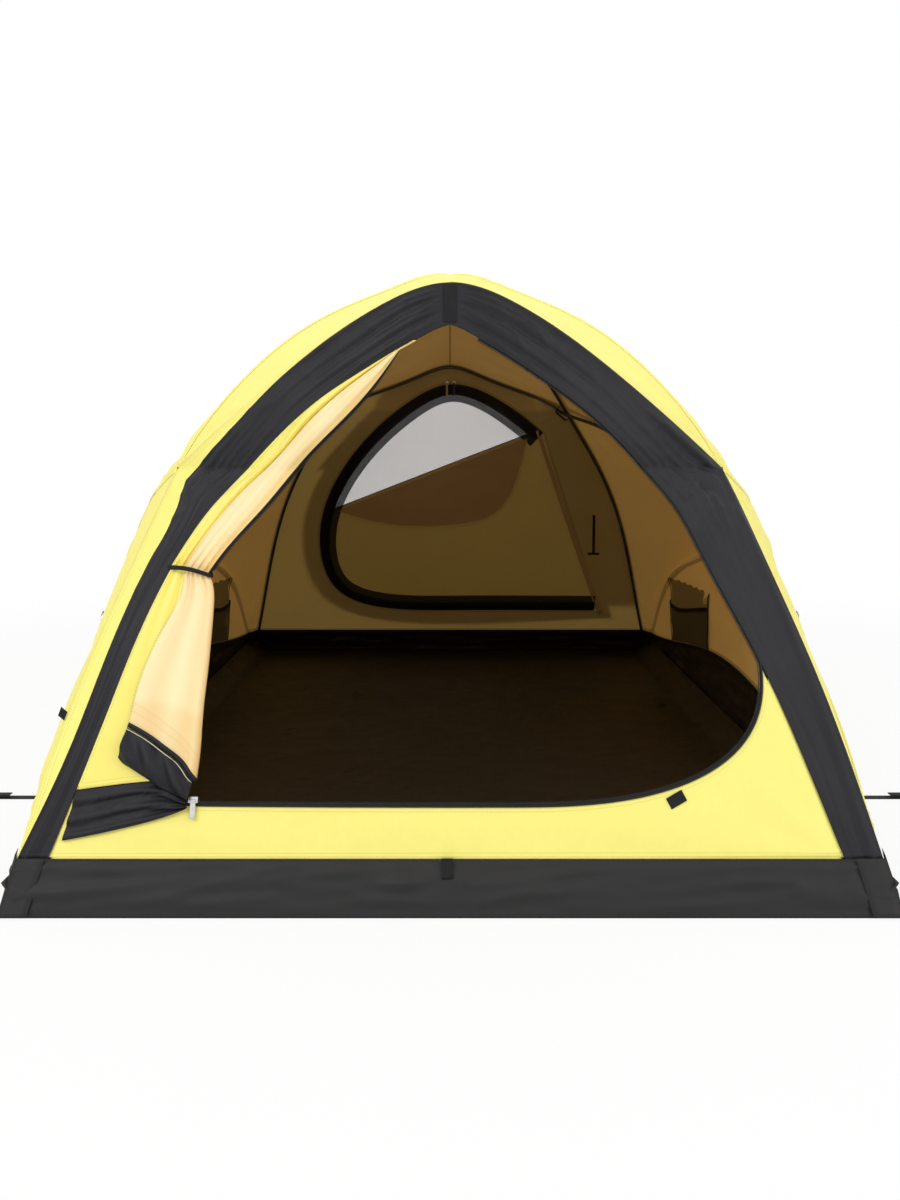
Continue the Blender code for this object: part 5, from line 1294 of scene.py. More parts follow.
class TENT_OT_front_bands(Operator):
    """Sew the black bands that frame the front door"""
    bl_idname = "tent.front_bands"
    bl_label = "Front bands"

    RIDGE_PLACE = 0.014
    RIDGE_WIDTH = 0.008
    COLUMNS = 260

    def execute(self, context):
        for seed, label in enumerate(("right", "left")):
            grid = panels["front_band_" + label][0]
            grid = finer(grid, len(grid), self.COLUMNS)
            normal = grid_normals(grid)
            run = run_over(grid, 0)
            width = run[-1:]
            black = run[BAND_ROWS - 1:BAND_ROWS]
            share = np.clip(run / black, 0, 1)
            from_seam = width - run
            from_side = abs(black - run)
            edge = np.minimum(run, from_seam)
            crown = abs(grid[..., 0])
            tie = FRONT_TIE * (MIRROR if label == "left" else 1)
            knee = np.linalg.norm(grid - tie, axis=-1)
            drift = waves(grid, 0.34, 50 + seed) * 1.4
            streaks = np.sin(share * TURN * 3.1 + drift) + 0.6 * np.sin(share * TURN * 6.3
                + 2.1 * drift + 1.3)
            strength = 0.22 + 0.95 * np.exp(-((crown - 0.10) / 0.14) ** 2) + 0.75 * np.exp(-(knee
                / 0.15) ** 2)
            sharp = (1 - abs(waves(grid, 0.060, 60 + seed))) ** 3
            sharp = sharp * (0.15 + np.exp(-(knee / 0.17) ** 2) + np.exp(-(crown / 0.22) ** 2))
            gather = np.sin(grid[..., 2] * TURN / 0.011
                + 40 * crown) * np.exp(-((crown - 0.016) / 0.009) ** 2) * 0.35
            ridge = np.exp(-((from_side - self.RIDGE_PLACE) / self.RIDGE_WIDTH) ** 2)
            ridge = ridge * (run < black) * ease((0.80 - grid[..., 2]) / 0.12)
            fanned = np.sin(share * TURN * 8.5 + crown * 9 + waves(grid, 0.2, 80) * 1.6)
            fanned = fanned * np.exp(-crown / 0.13) * (0.4 + 0.6 * share)
            creased = (1 - abs(np.sin(share * math.pi * 6.5 + drift * 0.7 + seed))) ** 3
            creased = creased * np.exp(-((knee - 0.05) / 0.15) ** 2) * (1.1 - share)
            amount = sizes().band_folds * (streaks * strength * 0.45 + sharp * 0.7 + gather
                + fanned * 0.42 + waves(grid, 0.15, 70 + seed) * 0.3)
            amount += creased * 0.0052 * ease(from_side / 0.02)
            amount = amount * ease((crown - 0.011) / 0.022)
            amount = amount * ease(edge / 0.014) + ridge * sizes().pole_ridge * ease(edge / 0.006)
            amount += 0.0016 * ease((0.004 - from_side) / 0.003) * ease(edge / 0.004)
            regions = np.repeat(np.arange(len(grid) - 1) >= BAND_ROWS - 1, self.COLUMNS - 1)
            cloth_piece("front_band_" + label, grid + normal * amount[..., None],
                [charcoal_cloth(), lemon_cloth(), charcoal_cloth(), shaded_cabin_lining()],
                "front_band_" + label, regions=regions)
        return {"FINISHED"}


class TENT_OT_front_sill(Operator):
    """Sew the yellow panel below the front door"""
    bl_idname = "tent.front_sill"
    bl_label = "Front sill"

    TUCK = 0.010
    UNDER = 0.0030

    def execute(self, context):
        rows = 24
        left = band_between(FOOT_Z, SILL[0, 1], rows, self.TUCK, LEFT_INNER) * (-1, 1)
        right = band_between(FOOT_Z, SILL[-1, 1], rows, self.TUCK)
        sill = SILL.copy()
        sill[0, 0] = left[-1, 0]
        sill[-1, 0] = right[-1, 0]
        foot = np.column_stack([np.linspace(left[0, 0], right[0, 0], SILL_COUNT + 1),
            np.full(SILL_COUNT + 1, FOOT_Z)])
        grid = FRONT_WALL.lift(coons(foot, sill, left, right))
        edge, _ = edge_fields(grid)
        normal = grid_normals(grid)
        if normal.mean(axis=(0, 1))[1] > 0:
            grid = grid[:, ::-1]
            edge = edge[:, ::-1]
            normal = grid_normals(grid)
        pulled = radiating(grid, np.array([0, -1, 0]), grid[0, -1], 12, 0.22, 5)
        amount = (waves(grid, 0.16, 91) * 0.0012 + pulled * 0.0022
            + waves(grid, 0.05, 92) * 0.0003) * ease(edge / 0.04)
        reach = np.where(grid[..., 0] < 0, abs(left_edge(grid[..., 2])),
            np.interp(grid[..., 2], BAND_INNER[:, 1], BAND_INNER[:, 0]))
        under = ease((abs(grid[..., 0]) - reach) / self.TUCK + 1.0)
        grid = grid + normal * (amount * (1 - under) - under * self.UNDER)[..., None]
        cloth_piece("front_sill_panel", grid, [lemon_cloth(), shaded_cabin_lining()], "front_sill_panel")
        return {"FINISHED"}


def tub_loops():
    """The tub's upper edge as one loop, and the floor's edge below it."""
    x = FRONT_LEG[-1][0]
    count = 120
    front = FRONT_WALL.lift(np.column_stack([np.linspace(-x, x, count + 1),
        np.full(count + 1, FOOT_Z)]))
    right = np.vstack([EDGE_FRONT, EDGE_SIDE[1:], EDGE_REAR[1:]])
    right = resample(right, 150)
    rear = rear_base[::-1]
    top = np.vstack([front[:-1], right[:-1], rear[:-1], (right[::-1] * MIRROR)[:-1]])
    base = top.copy()
    base[:, 2] = 0
    for start, line, y, reach in ((0, front, -HALF_L, x),
            (count + 150, rear, HALF_L, REAR_LEG[-1][0])):
        part = slice(start, start + len(line))
        base[part, 0] = line[:, 0] * HALF_W / reach
        base[part, 1] = y
    for start in (count, count + 150 + REAR_BASE_COUNT):
        part = slice(start, start + 150)
        share = (top[part, 1] - FRONT_LEG[-1][1]) / (REAR_LEG[-1][1] - FRONT_LEG[-1][1])
        base[part, 0] = np.copysign(HALF_W, top[part, 0])
        base[part, 1] = HALF_L * (2 * share - 1)
    return top, base


class TENT_OT_tub(Operator):
    """Sew the tub: its outer wall, its corner patches and the floor inside"""
    bl_idname = "tent.tub"
    bl_label = "Tub floor"

    ROWS = 16
    FLOOR_CELLS = (90, 150)

    def execute(self, context):
        top, base = tub_loops()
        share = even(self.ROWS)[:, None, None]
        grid = base[None] + (top - base)[None] * share
        normal = grid_normals(closed_round(grid))[:, :-1]
        if np.sum(normal[:, 60] * (0, -1, 0)) < 0:
            grid, normal = grid[:, ::-1], -normal[:, ::-1]
        t = share[..., 0]
        height = grid[..., 2]
        belly = np.sin(math.pi * np.clip(t, 0, 1)) ** 0.8 * 0.0035
        long_folds = waves(grid * (0.35, 0.35, 2.2), 0.060, 21) * sizes().skirt_folds * 0.45
        creases = (1 - abs(waves(grid * (0.5, 0.5, 1.6), 0.085, 22))) ** 4 * sizes().skirt_folds
        corner = np.exp(-abs(abs(grid[..., 0]) - HALF_W * 0.93) / 0.05) * (abs(grid[..., 1]) > 1.0)
        pulled = np.sin(grid[..., 0] * 160 + height * 60) * corner * 0.0012
        mask = ease(t / 0.25) * ease((1 - t) / 0.15)
        amount = (belly + long_folds + creases + pulled) * mask
        cloth_piece("tub_wall", grid + normal * amount[..., None], [skirt_cloth(), floor_cloth()],
            "tub_floor", thickness=0.0009, wrap=True)
        bound = top - normal[-1] * 0.0030 - UP * 0.002
        strap_piece("tub_binding", np.vstack([bound, bound[:1]]), UP, 0.009, black_webbing(),
            thickness=0.0010)
        self.floor()
        self.coves()
        self.patches(grid, normal)
        return {"FINISHED"}

    def floor(self):
        """The floor's cloth, wrinkled where mats have been dragged over it."""
        inset = 0.0004
        across = np.linspace(-HALF_W + inset, HALF_W - inset, self.FLOOR_CELLS[0])
        along = np.linspace(-HALF_L + inset, HALF_L - inset, self.FLOOR_CELLS[1])
        x, y = np.meshgrid(across, along)
        grid = np.stack([x, y, np.full_like(x, 0.0004)], axis=-1)
        edge, _ = edge_fields(grid)
        long_way = grid * (1.0, 3.0, 1.0)
        ridges = (1 - abs(waves(long_way, 0.22, 31))) ** 5
        fine = (1 - abs(waves(grid * (1.0, 2.2, 1.0), 0.09, 32))) ** 6
        swell = (waves(grid, 0.4, 33) + 1.2) * 0.35
        rolled = np.exp(-((edge - 0.035) / 0.018) ** 2) * 0.006
        height = sizes().floor_folds * (ridges + 0.6 * fine + 0.4 * swell) * ease(edge / 0.03)
        grid[..., 2] += np.maximum(height, 0) + rolled * ease(edge / 0.02)
        cloth_piece("tub_floor_sheet", grid, [floor_cloth(), skirt_cloth()], None,
            thickness=0.0008)

    def coves(self):
        """The floor's cloth rolling up to the tub's wall along both long sides."""
        y = np.linspace(-HALF_L + 0.010, HALF_L - 0.010, 150)
        profile = natural_spline((0, 0.3, 0.6, 1), ((0.592, 0.0006), (0.609, 0.0160),
            (0.630, 0.0300), (0.6455, 0.0480)))
        section = profile(even(14))
        for side, label in ((1, "right"), (-1, "left")):
            grid = np.stack([np.stack([np.full_like(y, side * x), y, np.full_like(y, z)], axis=-1)
                for x, z in section])
            t = even(14)[:, None]
            rolls = waves(grid * (1, 1, 3), 0.10, 34) * 0.0022 * ease(t / 0.2) * ease((1 - t)
                / 0.2)
            grid[..., 2] += rolls + 0.0012 * ease(t / 0.1)
            cloth_piece("tub_cove_" + label, grid, floor_cloth(), None,
                outward=(-side, 0, 1))

    def patches(self, grid, normal):
        """A doubled patch over each front and rear corner of the skirt."""
        for name, sx, sy in (("front_right", 1, -1), ("front_left", -1, -1), ("rear_right", 1, 1),
                ("rear_left", -1, 1)):
            corner = np.array([sx * HALF_W, sy * HALF_L])
            near = np.linalg.norm(grid[0, :, :2] - corner, axis=1)
            columns = np.where(near < 0.052)[0]
            if columns.max() - columns.min() > len(near) / 2:
                columns = np.roll(columns, int(np.argmax(np.diff(columns) > 5)) + 1)
                split = int(np.argmax(abs(np.diff(columns)) > 5)) + 1
                columns = np.roll(columns, -split) if split > 1 else columns
            part = grid[:, columns] + normal[:, columns] * 0.0048
            cloth_piece("corner_patch_" + name, part, skirt_cloth(), None,
                declare=False)


class TENT_OT_poles(Operator):
    """Make the four bent poles with their joint sleeves and tips"""
    bl_idname = "tent.poles"
    bl_label = "Poles"

    def line(self, stretches, start, end, dips):
        """A pole's middle line behind its seams; dips are crossings where it passes inside."""
        points = [stretches[0][0]]
        for stretch in stretches:
            points.extend(stretch[1:])
        line = []
        for i, point in enumerate(points):
            near = min([np.linalg.norm(point - dip) for dip in dips], default=1.0)
            share = max(0.0, 1 - near / POLE_DIP_REACH)
            extra = (POLE_DIAMETER + 0.0009) * share * share * (3 - 2 * share)
            if i in (0, len(points) - 1):
                extra += 0.0012
            line.append(behind(point, POLE_TO_CLOTH + POLE_DIAMETER / 2 + extra))
        line = np.array(line)[::4]
        line = np.vstack([[start], line, [end]])
        return smoothed(line, 3 * len(line))

    def foot(self, node, near):
        """The lowest end of a packed pole nearest a corner, as a point on its axis."""
        points = np.array([v.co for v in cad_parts[node].data.vertices])
        away = np.linalg.norm(points[:, :2] - near, axis=1) + points[:, 2]
        low = points[away < away.min() + 0.012]
        low = low[low[:, 2] < low[:, 2].min() + 0.002]
        return low.mean(axis=0)

    def execute(self, context):
        first = [FRONT_LEG[::-1], PEAK_FRONT[::-1], PEAK_REAR * MIRROR, REAR_LEG * MIRROR]
        second = [line * MIRROR for line in first]
        front, rear = ([leg[::-1] for leg in legs] + [leg * MIRROR for leg in legs[::-1]] for legs
            in ((SIDE_REAR, FRONT_SIDE, BROW), (SIDE_FRONT, REAR_SIDE, REAR_BROW)))
        plans = {"diagonal_pole_1": (first, (1, -1), (-1, 1), []),
            "diagonal_pole_2": (second, (-1, -1), (1, 1), [PEAK]),
            "front_arch_pole": (front, (1, 1), (-1, 1), [FRONT_TIE, FRONT_TIE * MIRROR]),
            "rear_arch_pole": (rear, (1, -1), (-1, -1),
            [REAR_TIE, REAR_TIE * MIRROR, SIDE_TIE, SIDE_TIE * MIRROR])}
        for node, (stretches, start, end, dips) in plans.items():
            ends = [self.foot(node, np.multiply(end, (HALF_W, HALF_L))) for end in (start, end)]
            line = self.line(stretches, *ends, dips)
            run = run_along(line)
            radius = POLE_DIAMETER / 2
            parts = [rod(line, radius, 14)]
            for joint in np.linspace(0, run[-1], POLE_SECTIONS + 1)[1:-1]:
                at = np.linspace(joint - 0.020, joint + 0.020, 9)
                swell = np.array([1.0, 1.13, 1.13, 1.13, 1.05, 1.13, 1.13, 1.13, 1.0]) * radius
                parts.append(rod(along_line(line, run, at), swell, 14))
            rod_piece(node, parts, anodised_tube(), nodes=[node])
        return {"FINISHED"}


def coil(name, path, body, radius=0.0016):
    """A zip's coil: a fine spring along its tape."""
    run = run_along(path)
    turns = int(run[-1] / sizes().zip_teeth)
    at = np.linspace(0, run[-1], turns * 6)
    middle = along_line(path, run, at)
    first, second = cross_frames(middle)
    angle = np.arange(len(at)) * (TURN / 6)
    spring = (middle + first * np.cos(angle)[:, None] * radius
        + second * np.sin(angle)[:, None] * radius)
    return rod_piece(name, [rod(spring, 0.00055, 4)], moulded_plastic(), body=body)


def laid(places):
    """(x, z) places as flat points, to spread waves over."""
    return np.dstack([places, np.zeros_like(places[..., :1])])


def on_front(places, out):
    """Points that stand off the front wall above (x, z) places."""
    return FRONT_WALL.lift(places, -np.asarray(out))


class TENT_OT_door_flap(Operator):
    """Gather the open front door at its left edge, tie it and fold its tail back"""
    bl_idname = "tent.door_flap"
    bl_label = "Open front door"

    TOP = 0.832
    TIE = 0.481
    TUCK = 0.003
    BEHIND_BAND = -0.0017
    ROLL_RIGHT = ((0.476, -0.372), (0.518, -0.339), (0.579, -0.281), (0.660, -0.211),
        (0.722, -0.148), (0.759, -0.116), (0.817, -0.077), (0.835, -0.066))
    YELLOW = 0.30
    TAPE = 0.935
    TAIL_RIGHT = ((-0.3725, 0.481), (-0.362, 0.457), (-0.359, 0.424), (-0.360, 0.381),
        (-0.363, 0.330), (-0.366, 0.285), (-0.368, 0.229), (-0.372, 0.186))
    TAIL_LEFT = ((-0.410, 0.486), (-0.414, 0.444), (-0.430, 0.408), (-0.453, 0.360),
        (-0.468, 0.314), (-0.475, 0.280), (-0.478, 0.262))
    HEM = ((-0.372, 0.186), (-0.380, 0.197), (-0.397, 0.216), (-0.431, 0.240), (-0.478, 0.262))
    UNDER_LEFT_FOOT = 0.168
    UNDER_FOOT = ((-0.551, 0.168), (-0.490, 0.177), (-0.430, 0.184), (-0.372, 0.186))
    STRIP_FOOT = ((-0.383, 0.160), (-0.406, 0.168), (-0.430, 0.180), (-0.464, 0.200),
        (-0.482, 0.208), (-0.490, 0.216))
    BUNDLE = 0.0110

    def upper(self):
        rows, columns = 130, 96
        t = even(rows)[:, None]
        s = even(columns)[None]
        height = self.TOP + (self.TIE - self.TOP) * t
        left = left_edge(height) - self.TUCK
        right = natural_spline(*zip(*self.ROLL_RIGHT))(height[:, 0])
        right = np.maximum(right, left + 0.006)
        x = left + (right - left) * s
        z = height + 0.010 * t ** 6 * (0.5 - s)
        gap = 0.26 * np.exp(-((height - 0.660) / 0.045) ** 2)
        turn = self.YELLOW + gap * 0.4
        depth = sizes().flap_folds * (0.60 + 0.40 * np.sin(math.pi * t ** 0.9)) * ease(t / 0.10)
        yellow = np.sin(math.pi * np.clip((s - gap) / (turn - gap), 0, 1)) ** 0.8 * 0.50
        peach = np.clip((s - turn) / (1 - turn), 0, 1)
        peach = np.sin(math.pi * np.minimum(peach ** 0.85, 1) * 0.93) ** 0.62
        out = 0.0030 * ease(s / 0.06) + depth * np.where(s < turn, yellow, peach)
        shape = np.stack([x, z * 0.4, np.zeros_like(x)], axis=-1)
        fan = np.sin(TURN * s * 5.5 + waves(shape, 0.10, 41) * 0.8)
        fine = np.sin(TURN * s * 13 + waves(shape, 0.06, 43) * 1.5)
        near_tie = np.exp(-(1 - t) / 0.09)
        cinch = 1 - 0.35 * np.exp(-(1 - t) / 0.05)
        out = out * cinch
        out += (fan * (0.0005 + 0.0024 * near_tie) + fine * 0.0010 * near_tie) * (ease(s / 0.08)
            * (1 - 0.5 * np.exp(-(1 - t) / 0.02)))
        out += waves(shape, 0.09, 42) * 0.0007 * ease(s / 0.1)
        loose = ease(s / 0.05)
        out = out * loose + self.BEHIND_BAND * (1 - loose)
        grid = on_front(np.stack([x, z], axis=-1), out)[:, ::-1]
        # Painted shade for the fold field: darker orange in the fold valleys, at the crease
        # between yellow and peach, and over the roll's right third where it turns away from the
        # light.
        painted_fold_shade = (0.5 - 0.5 * fan) ** 2 * (0.18 + 0.9 * near_tie)
        painted_fold_shade += (0.5 - 0.5 * fine) ** 2 * 0.5 * near_tie
        painted_fold_shade += 0.75 * ease((s - 0.62) / 0.30) + 0.25 * np.exp(-((s - turn)
            / 0.05) ** 2) + 0.20 * (0.5 + 0.5 * waves(shape, 0.05, 53))
        middle = (s[0, ::-1][:-1] + s[0, ::-1][1:]) / 2
        turned = np.broadcast_to(turn[1:], (rows - 1, columns - 1))
        look = np.where(middle[None] < turned, 0, np.where(middle[None] > self.TAPE, 2, 1))
        cloth_piece("door_flap_upper", grid, [lemon_cloth(), peach_lining(), zip_tape(),
            peach_lining(), lemon_cloth(), zip_tape()], "door_flap_upper",
            regions=look.ravel(),
            thickness=0.0007, side=0.0, fields={"fold": painted_fold_shade[:, ::-1]})
        free = grid[:, 0] + np.array([0.0010, -0.0010, 0])
        coil("door_flap_coil", free[8:-2], "root", 0.0013)

    def tail(self):
        rows, half = 96, 64
        v = even(half)[None]
        t = even(rows)[:, None]
        right = smoothed(self.TAIL_RIGHT, rows - 1)
        left = smoothed(self.TAIL_LEFT, rows - 1)
        tied = np.linspace(right[0], left[0], half)
        over = coons(tied, resample(smoothed(self.HEM, 60), half - 1), right, left)
        heights = np.linspace(self.TIE + 0.005, self.UNDER_LEFT_FOOT, rows)
        edge = np.column_stack([left_edge(heights) - self.TUCK, heights])
        foot = smoothed(self.UNDER_FOOT, 60)
        foot[:, 0] = np.interp(foot[:, 0], [foot[0, 0], foot[-1, 0]], [edge[-1, 0], right[-1, 0]])
        under = coons(np.linspace(right[0], edge[0], half), resample(foot[::-1], half - 1), right,
            edge)
        flat_over, flat_under = laid(over), laid(under)
        lap = self.BUNDLE + 0.0050 * ease(t / 0.4)
        turn = 0.0075 + (lap - 0.0075) * np.sin(math.pi / 2 * np.minimum(v / 0.16, 1)) ** 0.8
        drop = 1 - 0.45 * ease((v - 0.70) / 0.30)
        folds = np.cos(TURN * (1.9 * v + 0.10 * t) + waves(flat_over, 0.30, 45) * 0.6)
        fans = np.cos(TURN * 5.2 * v + waves(flat_over, 0.20, 46)) * np.exp(-t / 0.16)
        fine = np.cos(TURN * 11 * v + waves(flat_over, 0.10, 49)) * np.exp(-t / 0.08)
        out_over = turn * drop + 0.0026 * folds * ease(v / 0.2) * (0.35 + 0.65 * t)
        out_over += (0.0024 * fans + 0.0010 * fine) * ease(v / 0.08) * ease(t / 0.03 + 0.4)
        out_over += waves(flat_over, 0.07, 47) * 0.0008
        out_under = 0.0024 + 0.0051 * np.exp(-v / 0.05) + 0.0030 * (1 - v) * ease(v / 0.1)
        out_under = out_under + waves(flat_under, 0.13, 44) * 0.0012 * ease(v / 0.3)
        creases = np.cos(TURN * 4 * v + waves(flat_under, 0.2, 48)) * np.exp(-t / 0.3)
        out_under += creases * 0.0016 * ease(v / 0.3) * ease((1 - v) / 0.1)
        held = ease((1 - v) / 0.05)
        out_under = out_under * held + self.BEHIND_BAND * (1 - held)
        sheet = np.concatenate([on_front(over, out_over)[:, ::-1],
            on_front(under, out_under)[:, 1:]], axis=1)
        hem = np.concatenate([np.linalg.norm(sheet[:, :half] - sheet[-1:, :half], axis=-1),
            np.full((rows, half - 1), 9.0)], axis=1)
        # Painted shade for the fold field: darker orange in the folds, along the turned right edge
        # and near the hem, and on the lower layer where the upper one hangs over it.
        deep = (0.5 - 0.5 * folds) * 0.30 + (0.5 - 0.5 * fans) ** 2 * np.exp(-t / 0.20) * 0.8
        deep += (0.5 - 0.5 * fine) ** 2 * np.exp(-t / 0.10) * 0.6
        deep += 0.65 * ease((0.16 - v) / 0.16) ** 2 + 0.25 * ease((t - 0.72) / 0.06)
        below = (0.5 - 0.5 * creases) ** 2 * 0.9 + 0.35 * ease((0.25 - v) / 0.25)
        fold = np.concatenate([deep[:, ::-1], below[:, 1:]], axis=1)
        flap = cloth_piece("door_flap_tail", sheet, [lemon_cloth(), hemmed_peach()],
            "door_flap_tail", body=None,
            thickness=0.0007, side=0.0,
            fields={"hem": hem, "fold": fold}, facing=(sheet[rows // 2, -20], (0, -1, 0)))
        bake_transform(flap)
        self.hem(sheet[-1, :half][::-1])

    def hem(self, line):
        """The tail's zip edge: tape, coil with its light thread, and the black strip below."""
        line = resample(line, 90)
        ahead = np.array([0.0, -1.0, 0.0])
        tangent = unit(np.gradient(line, axis=0))
        down = unit(np.cross(tangent, ahead))
        down *= -np.sign(down[:, 2:3])
        rows = [line - down * 0.003 + ahead * 0.0010, line + ahead * 0.0018,
            line + down * 0.004 + ahead * 0.0018]
        cloth_piece("door_tail_tape", np.array(rows), zip_tape(), None,
            body="door_tail", thickness=0.0009, side=0.0, declare=False)
        coil("door_tail_coil", line + down * 0.0052 + ahead * 0.0012, "door_tail", 0.0012)
        rod_piece("door_tail_thread", [rod(line + down * 0.0070 + ahead * 0.0036, 0.0008, 6)],
            light_thread(), body="door_tail")
        top = line + down * 0.0060
        low = on_front(resample(smoothed(self.STRIP_FOOT, 60), 90), 0.0)
        share = even(91)[:, None]
        rows = []
        for drop in even(22):
            places = top * (1 - drop) + low * drop
            belly = 0.0095 * math.sin(math.pi * drop)
            shape = np.concatenate([share * 0.15, np.full_like(share, drop * 0.05), share * 0],
                axis=1)
            folds = np.cos(TURN * (2.6 * share + 0.9 * drop)) * 0.0058 * math.sin(math.pi
                * (0.1 + 0.8 * drop))
            crease = (waves(shape, 0.05, 51) * 0.0012)[:, None]
            rows.append(places + ahead * (drop * 0.012 + belly + folds + crease))
        for back in np.linspace(0.2, 1, 5):
            rows.append(rows[21] + UP * 0.012 * back - ahead * 0.007
                * math.sin(math.pi / 2 * back))
        cloth_piece("door_tail_strip", np.array(rows), charcoal_cloth(), None,
            body="door_tail", thickness=0.0008, side=0.0)

    def tie(self):
        """The strap round the gathered door, sewn behind the band's edge."""
        path = np.array([(-0.447, 0.4830, -0.0034), (-0.437, 0.4840, 0.0040),
            (-0.427, 0.4852, 0.0150), (-0.408, 0.4850, 0.0205), (-0.390, 0.4822, 0.0210),
            (-0.376, 0.4785, 0.0180), (-0.3665, 0.4755, 0.0100), (-0.3655, 0.4755, 0.0010),
            (-0.378, 0.4770, -0.0050), (-0.410, 0.4800, -0.0056), (-0.440, 0.4825, -0.0050)])
        path = smoothed(path, 70)
        line = on_front(path[:, :2], path[:, 2])
        strap_piece("door_tie_strap", line, (0.0, 0.16, 1.0), 0.0068, black_webbing(),
            "door_tie_strap", thickness=0.0011)

    def execute(self, context):
        self.upper()
        self.tail()
        self.tie()
        return {"FINISHED"}


class TENT_OT_front_zip(Operator):
    """Run the zip round the doorway, with its slider, pulls and the strip still zipped shut"""
    bl_idname = "tent.front_zip"
    bl_label = "Front zip"

    ZIP_TOP = 0.835
    STRIP_LOW = ((-0.566, 0.101), (-0.518, 0.110), (-0.451, 0.125), (-0.404, 0.139),
        (-0.385, 0.147))
    STRIP_HIGH = ((-0.551, 0.168), (-0.520, 0.172), (-0.490, 0.176), (-0.430, 0.182),
        (-0.404, 0.171), (-0.385, 0.158))

    def execute(self, context):
        band = band_between(SILL[-1, 1], self.ZIP_TOP, 60)[1:]
        path = resample(np.vstack([SILL, band]), 260)
        tangent = unit(np.gradient(path, axis=0))
        square = np.column_stack([-tangent[:, 1], tangent[:, 0]])
        rows = [FRONT_WALL.lift(path + square * share, CLOTH * 0.2 if share > 0 else 0.0022)
            for share in np.linspace(-0.010, 0.0028, 6)]
        cloth_piece("door_zip_tape", np.array(rows), zip_tape(), None,
            thickness=0.0007, side=0.0, declare=False)
        middle = FRONT_WALL.lift(path + square * 0.0034, CLOTH / 2)
        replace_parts(coil("door_zip_coil", middle, "root", 0.0019), "door_zip")
        piping = FRONT_WALL.lift(path - square * 0.0005, -0.0008)
        rod_piece("door_piping", [rod(piping, 0.0016, 8)], zip_tape())
        self.strip()
        repaint(cast_zinc(), "front_zip_slider", "front_zip_pull")
        return {"FINISHED"}

    def strip(self):
        columns, rows = 110, 40
        low = resample(smoothed(self.STRIP_LOW, 60), columns - 1)
        high = resample(smoothed(self.STRIP_HIGH, 60), columns - 1)
        t = even(rows)[:, None, None]
        places = low[None] * (1 - t) + high[None] * t
        share = even(columns)[None]
        t = t[..., 0]
        shape = laid(places)
        folds = np.sin(t * TURN * 2.6 + share * 2.4 + waves(shape, 0.16, 48) * 0.9)
        fine = np.sin(t * TURN * 5.7 - share * 3.0 + waves(shape, 0.10, 52))
        lip = ease(t / 0.12) * ease((1 - t) / 0.12)
        out = 0.0034 + (0.0032 * folds + 0.0013 * fine * share) * lip + 0.0035 * share
        out += (1 - abs(waves(shape, 0.035, 49))) ** 4 * 0.0012 * lip
        grid = FRONT_WALL.lift(places, -out)
        cloth_piece("zipped_door_strip", grid[:, ::-1], charcoal_cloth(), "zipped_door_strip",
            thickness=0.0009,
            side=0.0)


def packed(start):
    return [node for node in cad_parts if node.startswith(start)]


def repaint(look, *nodes):
    """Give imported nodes' own meshes a new look."""
    for node in nodes:
        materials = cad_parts[node].data.materials
        materials.clear()
        materials.append(look)


class TENT_OT_rear_wall(Operator):
    """Sew the rear wall round its doorway"""
    bl_idname = "tent.rear_wall"
    bl_label = "Rear wall"

    FACING = 0.045

    def execute(self, context):
        grid, normal = (part[:, :-1] for part in panels["rear_wall"])
        edge = edge_fields(closed_round(grid), True)[0][:, :-1]
        amount = (waves(grid, 0.20, 81) * sizes().roof_waves
            + waves(grid, 0.06, 82) * 0.0004) * ease((edge - 0.003) / 0.04)
        for side in (1, -1):
            amount += (radiating(grid, np.array([0, 1, 0]), REAR_TIE * (side, 1, 1), 14, 0.2,
                83) * sizes().roof_folds * 0.5 * ease((edge - 0.003) / 0.04))
        # Painted shade: the field doubled marks where less painted glow comes through: over
        # doubled cloth round the doorway and on the hinge side.
        off_door = np.linalg.norm(grid - grid[:1], axis=-1)
        hinge_side_shade = ease((grid[..., 0] - 0.20) / 0.08) * ease((grid[..., 2] - 0.150) / 0.02)
        reach = self.FACING + (grid[..., 2] > 0.6) * 0.02
        doubled = np.maximum(1 - ease((off_door - reach) / 0.018), hinge_side_shade)
        cloth_piece("rear_wall", grid + normal * amount[..., None], [lemon_cloth(), shaded_wall_lining()],
            "rear_wall", wrap=True,
            fields={"doubled": doubled})
        return {"FINISHED"}


def drawn_in(line, gap):
    """An open line moved square to itself towards the doorway's middle."""
    tangent = np.gradient(line, axis=0)
    square = unit(np.column_stack([-tangent[:, 1], tangent[:, 0]]))
    inward = np.sign(np.sum(square * (REAR_DOOR_MIDDLE - line), axis=1)).sum()
    return line + square * (gap if inward > 0 else -gap)


def inside(line, middle, gap):
    """A line drawn in towards a middle point by a gap."""
    away = line - middle
    size = np.linalg.norm(away, axis=-1, keepdims=True)
    return middle + away * (1 - gap / size)


